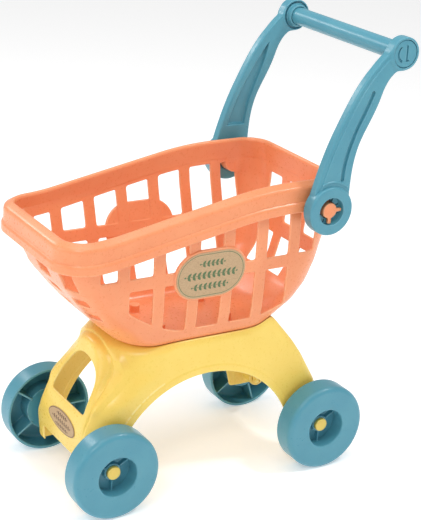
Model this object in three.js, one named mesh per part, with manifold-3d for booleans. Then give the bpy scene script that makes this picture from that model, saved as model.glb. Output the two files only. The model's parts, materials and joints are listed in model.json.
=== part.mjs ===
// A child's toy shopping trolley in moulded plastic: a slotted basket on an arch-shaped
// chassis with four free-spinning wheels and a push handle that folds forward.
//
// Millimetres, +Z up. The origin is on the ground, on the mid-plane, under the middle of the
// overall length. The trolley drives towards -Y, and +X is its left-hand side. Places along
// the trolley are given from the middle of the wheelbase; the whole is slid once, at the end.

import * as THREE from 'three';
import { mergeVertices } from 'three/addons/utils/BufferGeometryUtils.js';
import Module from 'manifold-3d';

const wasm = await Module();
wasm.setup();

// ---------------------------------------------------------------- driving dimensions

const FIT_GAP = 0.3; // between neighbouring fixed parts
const TURN_GAP = 0.45; // around a part that turns
const WALL = 2.5; // moulded wall thickness

const WHEEL_RADIUS = 42;
const WHEEL_FACE_X = 84.6; // outer face of a wheel
const WHEEL_BACK_X = 62.4; // open inboard edge of a wheel
const HUB_BACK_X = 58.6; // inboard end of the hub tube
const HUB_FRONT_X = 73; // outboard end of the hub tube, under the pin's head
const RECESS_RADIUS = 18.7;
const AXLE_Y = 111; // half the wheelbase
const AXLE_Z = WHEEL_RADIUS;
const PIN_RADIUS = 5;
const PIN_HEAD_RADIUS = 6.5;
const WHEEL_RIBS = 5;

const SIDE_X = 57.5; // outer face of a chassis side
const ARCH_RADIUS = 95.8;
const ARCH_Y = -7.3;
const ARCH_Z = 16.2;
const PANEL_EDGE_Z = 34.8; // bottom edge of the chassis front panel
const FRONT_LEG_WIDTH = 10; // how far the front legs reach in from the sides below the panel
const LEG_TIP_Z = 17.5; // bottom of the front legs
const REAR_LEG_Z = 29.8; // bottom of the rear legs
const REAR_EDGE_Z = 68; // top of the cut-out in the chassis rear panel

const FLOOR_Z = 143.4; // underside of the basket floor
const RIM_FRONT_Z = 257; // height of the rim's outer ridge at the front, where it is level
const RIM_SLOPE = 0.191; // of the straight stretch between the level front and rear
const RIM_FRONT_BEND = { start: -145, length: 40 };
const RIM_REAR_BEND = { start: 2, length: 60 };
const RIM_DEPTH = 23; // from the outer ridge down to the skirt's edge
const SKIRT_REACH = 6.2; // from the tub's wall out to the skirt

const PIVOT_Y = 88.5; // handle pivot
const PIVOT_Z = 267;
const PEG_RADIUS = 7.2;
const DISC_RADIUS = 22.5;
const DISC_HOLE_RADIUS = 12.7;
const DISC_BACK_X = 81.6;
const DISC_FACE_X = 94.6;
const ARM_INNER_X = 81.6;
const ARM_OUTER_X = 91.6;
const EYE_Y = 155.7; // centre of the handle bar
const EYE_Z = 404;
const EYE_RADIUS = 15;
const BAR_RADIUS = 8.4;
const BAR_BORE = 6.2;

const WINDOW_FIRST_Y = -120; // middle of the foremost column of side windows
const WINDOW_PITCH = 34.4;
const WINDOW_WIDTH = 23;
const WINDOW_COLUMNS = 7;
const WINDOW_LEAN = 0.08; // how far the columns lean forward for each unit of height
const WINDOW_LOWEST_Z = 159; // sill of the middle columns
const WINDOW_FLAT_FRONT = -40; // the sills climb forward of here
const WINDOW_FLAT_REAR = 35; // and rearward of here
const WINDOW_CLIMB_RUN = 57; // the length over which the two climbs below are reached
const WINDOW_FRONT_CLIMB = 28;
const WINDOW_REAR_CLIMB = 25.4;
const MID_RAIL_LOW = 208.5; // the plain rail between the two rows of windows
const MID_RAIL_HIGH = 220.7;

const BADGE_Y = -17.4;
const BADGE_Z = 215;
const BADGE_LENGTH = 69.4;
const BADGE_HEIGHT = 45.9;
const BADGE_THICKNESS = 0.6;
const BADGE_TILT = 0.15; // lean of the basket's side wall, in radians

const SCREW_X = 25;
const SCREW_PLACES_Y = [-42, 28];

// ---------------------------------------------------------------- materials

const plastic = (color, roughness) =>
  new THREE.MeshStandardMaterial({ color, roughness, metalness: 0 });

const basketPlastic = plastic(0xf09b6c, 0.42);
const chassisPlastic = plastic(0xf2d56e, 0.4);
const bluePlastic = plastic(0x5a9bb0, 0.4);
const stickerPaper = plastic(0xbf9f78, 0.8);
const screwSteel = new THREE.MeshStandardMaterial({ color: 0xb8bcc0, roughness: 0.35, metalness: 1 });

// ---------------------------------------------------------------- solids

function signedVolume(geometry) {
  const place = geometry.getAttribute('position');
  const index = geometry.getIndex();
  const corners = [new THREE.Vector3(), new THREE.Vector3(), new THREE.Vector3()];
  let volume = 0;
  for (let i = 0; i < index.count; i += 3) {
    corners.forEach((corner, k) => corner.fromBufferAttribute(place, index.getX(i + k)));
    volume += corners[0].dot(corners[1].cross(corners[2])) / 6;
  }
  return volume;
}

// Turns a closed three.js geometry into a solid, whichever way its faces wind.
function solid(geometry) {
  const bare = geometry.clone();
  bare.deleteAttribute('normal');
  bare.deleteAttribute('uv');
  const merged = mergeVertices(bare, 1e-4);
  const triangles = Array.from(merged.getIndex().array);
  if (signedVolume(merged) < 0) triangles.reverse();
  const vertProperties = new Float32Array(merged.getAttribute('position').array);
  const triVerts = new Uint32Array(triangles);
  const source = new wasm.Mesh({ numProp: 3, vertProperties, triVerts });
  source.merge();
  return new wasm.Manifold(source);
}

function geometryOf(manifold) {
  const { vertProperties, triVerts } = manifold.getMesh();
  const geometry = new THREE.BufferGeometry();
  geometry.setAttribute('position', new THREE.BufferAttribute(vertProperties, 3));
  geometry.setIndex(new THREE.BufferAttribute(triVerts, 1));
  return geometry;
}

const union = (first, ...rest) => rest.reduce((sum, piece) => sum.add(piece), first);
const cut = (first, ...rest) => rest.reduce((left, piece) => left.subtract(piece), first);
const mirrored = (piece) => piece.mirror([1, 0, 0]);
const onSide = (piece, side) => (side > 0 ? piece : mirrored(piece));

// A flat outline pushed along one axis. The outline lies in (y, z), (x, z) or (x, y).
const flatExtrude = (shape, depth, curveSegments) =>
  new THREE.ExtrudeGeometry(shape, { depth, bevelEnabled: false, curveSegments });

function extrudeX(shape, fromX, toX, curveSegments = 5) {
  const turn = new THREE.Matrix4().makeBasis(
    new THREE.Vector3(0, 1, 0), new THREE.Vector3(0, 0, 1), new THREE.Vector3(1, 0, 0));
  const slab = flatExtrude(shape, toX - fromX, curveSegments);
  return solid(slab.applyMatrix4(turn).translate(fromX, 0, 0));
}

function extrudeY(shape, fromY, toY, curveSegments = 5) {
  const slab = flatExtrude(shape, toY - fromY, curveSegments);
  return solid(slab.rotateX(Math.PI / 2).translate(0, toY, 0));
}

function extrudeZ(shape, fromZ, toZ) {
  return solid(flatExtrude(shape, toZ - fromZ, 1).translate(0, 0, fromZ));
}

const outlineOf = (points) => new THREE.Shape(points.map(([a, b]) => new THREE.Vector2(a, b)));

function box(low, high) {
  const size = high.map((value, i) => value - low[i]);
  const middle = high.map((value, i) => (value + low[i]) / 2);
  return solid(new THREE.BoxGeometry(...size).translate(...middle));
}

// A round bar along X, or along Z.
function rodX(radius, fromX, toX, y, z, segments = 16) {
  const rod = new THREE.CylinderGeometry(radius, radius, toX - fromX, segments);
  return solid(rod.rotateZ(-Math.PI / 2).translate((fromX + toX) / 2, y, z));
}

function rodZ(radius, fromZ, toZ, x, y, segments = 10) {
  const rod = new THREE.CylinderGeometry(radius, radius, toZ - fromZ, segments);
  return solid(rod.rotateX(Math.PI / 2).translate(x, y, (fromZ + toZ) / 2));
}

// Turns a section of [radius, x] points about the X axis.
function turnedAboutX(section, segments) {
  const profile = section.map(([radius, x]) => new THREE.Vector2(radius, x));
  return solid(new THREE.LatheGeometry(profile, segments).rotateZ(-Math.PI / 2));
}

function roundedBox(left, right, bottom, top, radius) {
  const shape = new THREE.Shape();
  shape.moveTo(left + radius, bottom);
  shape.lineTo(right - radius, bottom);
  shape.absarc(right - radius, bottom + radius, radius, -Math.PI / 2, 0, false);
  shape.absarc(right - radius, top - radius, radius, 0, Math.PI / 2, false);
  shape.absarc(left + radius, top - radius, radius, Math.PI / 2, Math.PI, false);
  shape.absarc(left + radius, bottom + radius, radius, Math.PI, Math.PI * 1.5, false);
  return shape;
}

// ---------------------------------------------------------------- basket

// The distance run past a bend's start, eased in over the bend's length.
function easedRun(y, bend) {
  const run = Math.max(0, y - bend.start);
  return run < bend.length ? (run * run) / (2 * bend.length) : run - bend.length / 2;
}

// The rim is level at the front, climbs in a straight slope and levels out at the rear.
function ridgeHeight(y) {
  return RIM_FRONT_Z + RIM_SLOPE * (easedRun(y, RIM_FRONT_BEND) - easedRun(y, RIM_REAR_BEND));
}

// Level sections of the tub's outside: height, half width, reach to the front, reach to
// the rear, and corner radius.
const TUB_SECTIONS = [
  [FLOOR_Z, 40, 62, 50, 24],
  [147, 50, 82, 64, 28],
  [156, 55.5, 98, 76, 30],
  [170, 60, 113, 92, 31],
  [186, 63, 127, 103, 32],
  [207, 66.3, 143, 109, 32],
  [226, 68.9, 152, 111.5, 31],
];
const RIM_SECTION = { halfWidth: 72.5, front: 157.5, rear: 114.5, corner: 31 };

const CORNER_STEPS = 4;
const SIDE_STEPS = 5;
const END_STEPS = 2;

// One closed loop of plan points round the tub, anticlockwise from the rear left corner.
function planLoop(halfWidth, front, rear, corner) {
  const corners = [
    [halfWidth - corner, rear - corner, 0],
    [corner - halfWidth, rear - corner, 1],
    [corner - halfWidth, corner - front, 2],
    [halfWidth - corner, corner - front, 3],
  ];
  const arcs = corners.map(([x, y, quarter]) => {
    const points = [];
    for (let i = 0; i <= CORNER_STEPS; i += 1) {
      const angle = ((quarter + i / CORNER_STEPS) * Math.PI) / 2;
      points.push([x + corner * Math.cos(angle), y + corner * Math.sin(angle)]);
    }
    return points;
  });
  const loop = [];
  arcs.forEach((arc, k) => {
    loop.push(...arc);
    const from = arc[arc.length - 1];
    const to = arcs[(k + 1) % 4][0];
    const steps = k % 2 === 0 ? END_STEPS : SIDE_STEPS;
    for (let i = 1; i < steps; i += 1) {
      loop.push([from[0] + ((to[0] - from[0]) * i) / steps, from[1] + ((to[1] - from[1]) * i) / steps]);
    }
  });
  return loop;
}

// Skins a stack of loops into one closed body, with a flat fan over each end.
function skin(loops) {
  const count = loops[0].length;
  const positions = loops.flat(2);
  const triangles = [];
  for (let row = 0; row + 1 < loops.length; row += 1) {
    for (let i = 0; i < count; i += 1) {
      const next = (i + 1) % count;
      const low = row * count;
      const high = low + count;
      triangles.push(low + i, low + next, high + next, low + i, high + next, high + i);
    }
  }
  [0, loops.length - 1].forEach((row, end) => {
    const loop = loops[row];
    const middle = positions.length / 3;
    positions.push(0, loop.reduce((sum, point) => sum + point[1], 0) / count, loop[0][2]);
    for (let i = 0; i < count; i += 1) {
      const pair = [row * count + i, row * count + ((i + 1) % count)];
      if (end === 0) pair.reverse();
      triangles.push(middle, ...pair);
    }
  });
  const geometry = new THREE.BufferGeometry();
  geometry.setAttribute('position', new THREE.Float32BufferAttribute(positions, 3));
  geometry.setIndex(triangles);
  return solid(geometry);
}

const tubLoop = ([z, halfWidth, front, rear, corner], grow) =>
  planLoop(halfWidth + grow, front + grow, rear + grow, corner + grow).map(([x, y]) => [x, y, z]);

// A loop that follows the rim: outward from the tub's wall, and up from the outer ridge.
const rimLoop = (outward, rise) =>
  planLoop(
    RIM_SECTION.halfWidth + outward,
    RIM_SECTION.front + outward,
    RIM_SECTION.rear + outward,
    RIM_SECTION.corner + outward,
  ).map(([x, y]) => [x, y, ridgeHeight(y) + rise]);

// The tub's outside, grown all round, up to a level above the chassis.
function tubEnvelope(grow) {
  const rows = TUB_SECTIONS.slice(0, 5).map((section) => tubLoop(section, grow));
  rows[0].forEach((point) => { point[2] -= grow; });
  return skin(rows);
}

function tubShell() {
  const outside = TUB_SECTIONS.map((section) => tubLoop(section, 0));
  const insideSections = TUB_SECTIONS.filter((section, row) => row !== 1 && row !== 4);
  const inside = insideSections.map((section) => tubLoop(section, -WALL)).reverse();
  inside[inside.length - 1].forEach((point) => { point[2] += WALL; });
  const rim = [
    rimLoop(-0.6, -26),
    rimLoop(0, -4),
    rimLoop(2.4, -3),
    rimLoop(3.6, -RIM_DEPTH),
    rimLoop(SKIRT_REACH, -RIM_DEPTH),
    rimLoop(6, -16.5),
    rimLoop(4.9, -14.5),
    rimLoop(4.6, -1.5),
    rimLoop(3.2, 0.4),
    rimLoop(-2.6, 3.6),
    rimLoop(-4.6, 3.4),
    rimLoop(-5.6, 1),
    rimLoop(-WALL - 0.6, -24),
  ];
  return skin([...outside, ...rim, ...inside]);
}

// The lower edge of the side windows climbs towards both ends, as the tub's bottom does.
function windowFoot(y) {
  const forward = Math.max(0, WINDOW_FLAT_FRONT - y) / WINDOW_CLIMB_RUN;
  const rearward = Math.max(0, y - WINDOW_FLAT_REAR) / WINDOW_CLIMB_RUN;
  return WINDOW_LOWEST_Z + WINDOW_FRONT_CLIMB * forward ** 1.6 + WINDOW_REAR_CLIMB * rearward ** 1.3;
}

// Two rows of windows through both side walls, in columns that lean forward like the rim.
function sideWindows() {
  const cuts = [];
  const leaning = (y, z) => [y + WINDOW_LEAN * (MID_RAIL_HIGH - z), z];
  for (let column = 0; column < WINDOW_COLUMNS; column += 1) {
    const middle = WINDOW_FIRST_Y + WINDOW_PITCH * column;
    const left = middle - (column === 0 ? 5 : WINDOW_WIDTH / 2);
    const right = middle + (column === WINDOW_COLUMNS - 1 ? 5 : WINDOW_WIDTH / 2);
    const top = ridgeHeight(middle) - RIM_DEPTH + 2;
    const outlines = [[[left, MID_RAIL_HIGH], [right, MID_RAIL_HIGH], [right, top], [left, top]]];
    if (column > 0 && column < WINDOW_COLUMNS - 1) {
      outlines.push([[left, windowFoot(left)], [right, windowFoot(right)],
        [right, MID_RAIL_LOW], [left, MID_RAIL_LOW]]);
    }
    outlines.forEach((corners) => {
      const shape = outlineOf(corners.map(([y, z]) => leaning(y, z)));
      cuts.push(extrudeX(shape, 40, 75, 1), extrudeX(shape, -75, -40, 1));
    });
  }
  return cuts;
}

// Three rows of windows through the front wall and two through the rear wall.
function endWindows() {
  const frontRows = [[168, 183], [190, 205], [213, 232]];
  const rearRows = [[174, MID_RAIL_LOW], [MID_RAIL_HIGH, 262]];
  const cuts = [];
  [-49.5, -16.5, 16.5, 49.5].forEach((x) => {
    const width = Math.abs(x) > 20 ? 17 : 21;
    frontRows.forEach(([low, high], row) => {
      if (row === 0 && Math.abs(x) > 20) return;
      cuts.push(extrudeY(roundedBox(x - width / 2, x + width / 2, low, high, 2), -158, -84, 1));
    });
  });
  [-33, 0, 33].forEach((x) => {
    rearRows.forEach(([low, high]) => {
      cuts.push(extrudeY(roundedBox(x - 10.5, x + 10.5, low, high, 2), 84, 116.5, 1));
    });
  });
  return cuts;
}

// A long oval plate that leans with the side wall; outward is along +X before it leans.
function ovalPlate(length, height, fromX, toX, side) {
  const shape = roundedBox(-length / 2, length / 2, -height / 2, height / 2, height / 2 - 0.1);
  const plate = extrudeX(shape, fromX, toX).rotate([0, (BADGE_TILT * 180) / Math.PI, 0]);
  const placed = plate.translate([67.6, BADGE_Y, BADGE_Z]);
  return onSide(placed, side);
}

// The boss that carries the handle: a round peg with two lugs at its end.
function pivotPeg(side) {
  const peg = rodX(PEG_RADIUS, 74, 92, PIVOT_Y, PIVOT_Z);
  const shoulder = rodX(11.5, 74, 81, PIVOT_Y, PIVOT_Z);
  const lugRear = box([88.8, PIVOT_Y, PIVOT_Z - 1.6], [92, PIVOT_Y + 12, PIVOT_Z + 1.6]);
  const lugLow = box([88.8, PIVOT_Y - 1.6, PIVOT_Z - 12], [92, PIVOT_Y + 1.6, PIVOT_Z]);
  const whole = union(peg, shoulder, lugRear, lugLow);
  return onSide(whole, side);
}

function basketSolid() {
  let body = cut(tubShell(), ...sideWindows(), ...endWindows());
  [1, -1].forEach((side) => {
    body = union(body, ovalPlate(BADGE_LENGTH + 4, BADGE_HEIGHT + 4, -2.2, 0.9, side), pivotPeg(side));
  });
  SCREW_PLACES_Y.forEach((y) => [SCREW_X, -SCREW_X].forEach((x) => {
    body = union(body, rodZ(4.6, FLOOR_Z + 1, FLOOR_Z + 11, x, y));
    body = cut(body, rodZ(1.9, FLOOR_Z - 1, FLOOR_Z + 8.5, x, y));
  }));
  return body;
}

// ---------------------------------------------------------------- chassis

// The space under the chassis skin's outside, moved inwards by inset.
function chassisEnvelope(inset) {
  const front = [[-126, 0], [-127, 45], [-127, 60], [-125.4, 74], [-119.8, 88.5], [-111, 109.3],
    [-106, 125], [-102, 142], [-95, 150]];
  const top = [[-60, 149], [30, 149], [46, 152], [56, 159]];
  const rear = [[65, 152.3], [77.3, 137.8], [87.4, 125.4], [97.4, 110.9], [106.4, 95.2], [114.2, 81.8],
    [120, 66], [123.3, 46], [123.3, 0]];
  const side = [
    ...front.map(([y, z]) => [y + inset, z > 140 ? z - inset : z]),
    ...top.map(([y, z]) => [y, z - inset]),
    ...rear.map(([y, z]) => [y - inset, z > 130 ? z - inset : z]),
  ];
  const half = SIDE_X - inset;
  const plan = [[45 - inset, -130], [half, -98], [half, 112], [half - 8, 126], [8 - half, 126],
    [-half, 112], [-half, -98], [inset - 45, -130]];
  const section = [[half, -1], [half, 118], [half - 1, 132], [half - 4, 143 - inset], [half - 9, 150 - inset],
    [half - 13, 162 - inset], [13 - half, 162 - inset], [9 - half, 150 - inset], [4 - half, 143 - inset],
    [1 - half, 132], [-half, 118], [-half, -1]];
  return extrudeX(outlineOf(side), -60, 60)
    .intersect(extrudeZ(outlineOf(plan), -2, 170))
    .intersect(extrudeY(outlineOf(section), -140, 140));
}

// The side view of the legs: everything outside it is trimmed away.
function legSilhouette() {
  const shape = new THREE.Shape();
  const archStart = Math.acos((REAR_LEG_Z - ARCH_Z) / ARCH_RADIUS);
  shape.moveTo(-130, 170);
  shape.lineTo(-130, LEG_TIP_Z + 6);
  shape.absarc(-124, LEG_TIP_Z + 6, 6, Math.PI, Math.PI * 1.5, false);
  shape.lineTo(-108, LEG_TIP_Z);
  shape.lineTo(ARCH_Y - ARCH_RADIUS, 24);
  shape.absarc(ARCH_Y, ARCH_Z, ARCH_RADIUS, Math.PI - 0.08, Math.PI / 2 - archStart, true);
  shape.lineTo(AXLE_Y, REAR_LEG_Z);
  shape.absarc(AXLE_Y, REAR_LEG_Z + 12.2, 12.2, -Math.PI / 2, 0, false);
  shape.lineTo(130, 60);
  shape.lineTo(130, 170);
  return extrudeX(shape, -70, 70);
}

// The arched window in the front panel.
function frontWindow() {
  const shape = new THREE.Shape();
  shape.moveTo(-28, 86);
  shape.quadraticCurveTo(-28, 82, -24, 82);
  shape.lineTo(24, 82);
  shape.quadraticCurveTo(28, 82, 28, 86);
  shape.lineTo(31, 103);
  shape.bezierCurveTo(32, 116, 20, 125.5, 0, 125.5);
  shape.bezierCurveTo(-20, 125.5, -32, 116, -31, 103);
  return extrudeY(shape, -135, -92);
}

function rearCutOut() {
  const shape = new THREE.Shape();
  shape.moveTo(-42, 0);
  shape.lineTo(42, 0);
  shape.lineTo(42, REAR_EDGE_Z - 22);
  shape.absarc(20, REAR_EDGE_Z - 22, 22, 0, Math.PI / 2, false);
  shape.absarc(-20, REAR_EDGE_Z - 22, 22, Math.PI / 2, Math.PI, false);
  return extrudeY(shape, 80, 130);
}

function chassisSolid() {
  const cavity = chassisEnvelope(WALL).subtract(tubEnvelope(FIT_GAP + WALL));
  let body = cut(chassisEnvelope(0), cavity, tubEnvelope(FIT_GAP));
  body = body.intersect(legSilhouette());
  const gapHalfWidth = SIDE_X - FRONT_LEG_WIDTH;
  const frontLegGap = box([-gapHalfWidth, -140, -1], [gapHalfWidth, -90, PANEL_EDGE_Z]);
  body = cut(body, frontWindow(), rearCutOut(), frontLegGap);
  [AXLE_Y, -AXLE_Y].forEach((y) => [1, -1].forEach((side) => {
    const socket = rodX(9, 40, SIDE_X - 1, y, AXLE_Z);
    const bore = rodX(PIN_RADIUS + FIT_GAP, 0, 70, y, AXLE_Z);
    body = cut(union(body, onSide(socket, side)), onSide(bore, side));
  }));
  SCREW_PLACES_Y.forEach((y) => [SCREW_X, -SCREW_X].forEach((x) => {
    body = cut(body, rodZ(2.2, FLOOR_Z - 8, FLOOR_Z + 2, x, y));
  }));
  return body;
}

// ---------------------------------------------------------------- wheels and pins

// A hollow wheel, open inboard, with a deep round recess in its outer face.
function wheelSolid() {
  const rimInside = WHEEL_RADIUS - 2.8;
  const tyre = turnedAboutX([
    [RECESS_RADIUS + 1.4, WHEEL_FACE_X],
    [WHEEL_RADIUS - 5, WHEEL_FACE_X],
    [WHEEL_RADIUS - 1.5, WHEEL_FACE_X - 1.5],
    [WHEEL_RADIUS, WHEEL_FACE_X - 5],
    [WHEEL_RADIUS, WHEEL_BACK_X],
    [rimInside, WHEEL_BACK_X],
    [rimInside, WHEEL_FACE_X - 5],
    [rimInside - 2, WHEEL_FACE_X - 2.6],
    [RECESS_RADIUS + 2.4, WHEEL_FACE_X - 2.6],
    [RECESS_RADIUS + 2.4, 66],
    [8.8, 66],
    [8.8, HUB_BACK_X],
    [PIN_RADIUS + TURN_GAP, HUB_BACK_X],
    [PIN_RADIUS + TURN_GAP, HUB_FRONT_X],
    [8.2, HUB_FRONT_X],
    [8.2, 68.6],
    [RECESS_RADIUS, 68.6],
    [RECESS_RADIUS, WHEEL_FACE_X - 1.4],
    [RECESS_RADIUS + 1.4, WHEEL_FACE_X],
  ], 24);
  let body = tyre;
  for (let i = 0; i < WHEEL_RIBS; i += 1) {
    const rib = box([64.6, RECESS_RADIUS + 1.5, -1], [WHEEL_FACE_X - 2, rimInside + 0.6, 1]);
    body = union(body, rib.rotate([(360 / WHEEL_RIBS) * i, 0, 0]));
  }
  for (let i = 0; i < 3; i += 1) {
    const rib = box([68, 7.4, -0.8], [HUB_FRONT_X - 0.6, RECESS_RADIUS + 0.6, 0.8]);
    body = union(body, rib.rotate([30 + 120 * i, 0, 0]));
  }
  return body;
}

// A headed axle pin with a split, barbed inboard end that snaps behind the chassis socket.
function pinSolid() {
  const domeX = HUB_FRONT_X + FIT_GAP;
  const body = turnedAboutX([
    [0, 35],
    [3.9, 35],
    [5.9, 38],
    [5.9, 39.5],
    [PIN_RADIUS, 39.6],
    [PIN_RADIUS, domeX],
    [PIN_HEAD_RADIUS, domeX],
    [PIN_HEAD_RADIUS, domeX + 2],
    [PIN_HEAD_RADIUS - 1, domeX + 3],
    [0, domeX + 3.4],
  ], 16);
  return body.subtract(box([30, -0.9, -8], [47, 0.9, 8]));
}

// ---------------------------------------------------------------- handle

// The arm's side view, from the pivot disc up to the eye that takes the bar.
function armOutline() {
  const shape = new THREE.Shape();
  shape.moveTo(PIVOT_Y - 19, PIVOT_Z + 8);
  shape.bezierCurveTo(76, 300, 84, 322, 92, 338);
  shape.bezierCurveTo(102, 358, 112, 378, 126, 392);
  shape.bezierCurveTo(134, 402, 146, 410, EYE_Y, EYE_Z + 13);
  shape.lineTo(EYE_Y + 12, EYE_Z);
  shape.lineTo(EYE_Y, EYE_Z - 13);
  shape.bezierCurveTo(146, 388, 142, 380, 138, 368);
  shape.bezierCurveTo(132, 350, 122, 338, 117, 324);
  shape.bezierCurveTo(112, 310, 111, 300, PIVOT_Y + 20, PIVOT_Z + 8);
  shape.lineTo(PIVOT_Y, PIVOT_Z - 16);
  return shape;
}

// The shallow curved groove in the arm's outer face.
function armGroove() {
  const shape = new THREE.Shape();
  shape.moveTo(103.5, 302);
  shape.bezierCurveTo(104, 318, 112, 336, 120, 352);
  shape.bezierCurveTo(125, 362, 129, 372, 133, 382);
  shape.lineTo(130.4, 383.2);
  shape.bezierCurveTo(126, 372, 121, 362, 116.6, 353);
  shape.bezierCurveTo(108, 337, 100.6, 318, 100, 302);
  return extrudeX(shape, ARM_OUTER_X - 2, ARM_OUTER_X + 3);
}

// The long tapering pocket in the arm's inner face.
function armPocket() {
  const shape = new THREE.Shape();
  shape.moveTo(84, 300);
  shape.bezierCurveTo(90, 322, 104, 350, 126, 379);
  shape.bezierCurveTo(124, 360, 112, 340, 106, 318);
  shape.lineTo(103, 300);
  return extrudeX(shape, ARM_INNER_X - 1, ARM_INNER_X + 4);
}

function armSolid(side) {
  const plate = extrudeX(armOutline(), ARM_INNER_X, ARM_OUTER_X);
  const disc = rodX(DISC_RADIUS, DISC_BACK_X, DISC_FACE_X, PIVOT_Y, PIVOT_Z, 28);
  const eye = rodX(EYE_RADIUS, ARM_INNER_X, ARM_OUTER_X + 0.8, EYE_Y, EYE_Z, 24);
  const collar = rodX(11.4, ARM_INNER_X - 5, ARM_INNER_X + 2, EYE_Y, EYE_Z, 20);
  const notchUp = box([83, PIVOT_Y - 2.2, PIVOT_Z], [90, PIVOT_Y + 2.2, PIVOT_Z + 12.3]);
  const notchFront = box([83, PIVOT_Y - 12.3, PIVOT_Z - 2.2], [90, PIVOT_Y, PIVOT_Z + 2.2]);
  const whole = cut(
    union(plate, disc, eye, collar),
    rodX(DISC_HOLE_RADIUS, 88.3, 100, PIVOT_Y, PIVOT_Z, 20),
    rodX(PEG_RADIUS + TURN_GAP + 0.1, 70, 100, PIVOT_Y, PIVOT_Z),
    rodX(12.4, 70, 84.2, PIVOT_Y, PIVOT_Z),
    rodX(BAR_RADIUS + FIT_GAP, 70, 86, EYE_Y, EYE_Z),
    rodX(6.4, 80, 100, EYE_Y, EYE_Z),
    rodX(11.4, ARM_OUTER_X - 1.8, 100, EYE_Y, EYE_Z, 20),
    notchUp,
    notchFront,
    armGroove(),
    armPocket(),
  );
  return onSide(whole, side);
}

function barSolid() {
  const end = 85.6;
  return cut(rodX(BAR_RADIUS, -end, end, EYE_Y, EYE_Z), rodX(BAR_BORE, -100, 100, EYE_Y, EYE_Z));
}

// A round cap in the eye's outer face, with a stem that plugs the bar.
function capSolid(side) {
  const disc = rodX(11, ARM_OUTER_X - 1.5, ARM_OUTER_X + 0.3, EYE_Y, EYE_Z, 20);
  const stem = rodX(5.8, 76, ARM_OUTER_X, EYE_Y, EYE_Z);
  const slot = box([ARM_OUTER_X - 0.6, EYE_Y + 4, EYE_Z - 5], [100, EYE_Y + 5.8, EYE_Z + 5]);
  const whole = union(disc, stem).subtract(slot);
  return onSide(whole, side);
}

// ---------------------------------------------------------------- small parts

// A self-tapping screw, driven up through the chassis into the basket floor.
function screwSolid() {
  const head = rodZ(3.8, FLOOR_Z - 5.4, FLOOR_Z - FIT_GAP * 2 - WALL, 0, 0);
  const shank = rodZ(1.6, FLOOR_Z - 5, FLOOR_Z + 8, 0, 0, 12);
  const drive = [0, 90].map((angle) =>
    box([-2, -0.5, -1], [2, 0.5, 1]).rotate([0, 0, angle]).translate([0, 0, FLOOR_Z - 5.6]));
  return cut(union(head, shank), ...drive);
}

function frontBadgeSolid() {
  const shape = new THREE.Shape();
  shape.absellipse(0, 0, 27.5, 11, 0, Math.PI * 2, false);
  const plate = extrudeY(shape, -BADGE_THICKNESS, 0);
  return plate.translate([0, -127 - FIT_GAP, 61]);
}

// ---------------------------------------------------------------- assembly

const trolley = new THREE.Group();
const rimFront = -RIM_SECTION.front - SKIRT_REACH;
const eyeRear = EYE_Y + EYE_RADIUS;
trolley.position.y = -(rimFront + eyeRear) / 2;

function part(name, manifold, material, parent = trolley) {
  const mesh = new THREE.Mesh(geometryOf(manifold), material);
  mesh.name = name;
  parent.add(mesh);
  return mesh;
}

part('basket', basketSolid(), basketPlastic);
part('chassis', chassisSolid(), chassisPlastic);

const wheel = wheelSolid();
const pin = pinSolid();
[['front', -AXLE_Y], ['rear', AXLE_Y]].forEach(([end, y]) => {
  [['left', 0], ['right', Math.PI]].forEach(([side, turn]) => {
    const corner = new THREE.Group();
    corner.position.set(0, y, AXLE_Z);
    corner.rotation.z = turn;
    trolley.add(corner);
    part(`wheel_${end}_${side}`, wheel, bluePlastic, corner);
    part(`axle_pin_${end}_${side}`, pin, chassisPlastic, corner);
  });
});

[['left', 1], ['right', -1]].forEach(([side, sign]) => {
  part(`handle_arm_${side}`, armSolid(sign), bluePlastic);
  part(`bar_cap_${side}`, capSolid(sign), bluePlastic);
  const badge = ovalPlate(BADGE_LENGTH, BADGE_HEIGHT, 0.9 + FIT_GAP, 0.9 + FIT_GAP + BADGE_THICKNESS, sign);
  part(`basket_badge_${side}`, badge, stickerPaper);
});
part('handle_bar', barSolid(), bluePlastic);
part('front_badge', frontBadgeSolid(), stickerPaper);

const screw = screwSolid();
[['front', SCREW_PLACES_Y[0]], ['rear', SCREW_PLACES_Y[1]]].forEach(([end, y]) => {
  [['left', SCREW_X], ['right', -SCREW_X]].forEach(([side, x]) => {
    part(`basket_screw_${end}_${side}`, screw, screwSteel).position.set(x, y, 0);
  });
});

export default trolley;
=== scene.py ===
"""The looks of a child's toy shopping trolley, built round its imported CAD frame.

Each moulded piece is described by a signed distance in millimetres, below zero inside the
plastic and above zero outside. Fields are joined and cut with small fillets, as mouldings
are, and the zero surface is then skinned. x runs across the trolley, y along it from the
middle of the wheelbase, and z up. Only the last step of each piece turns this into metres.
"""
import json
import math

import bpy
import numpy as np
import openvdb
from mathutils import Matrix, Vector


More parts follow.
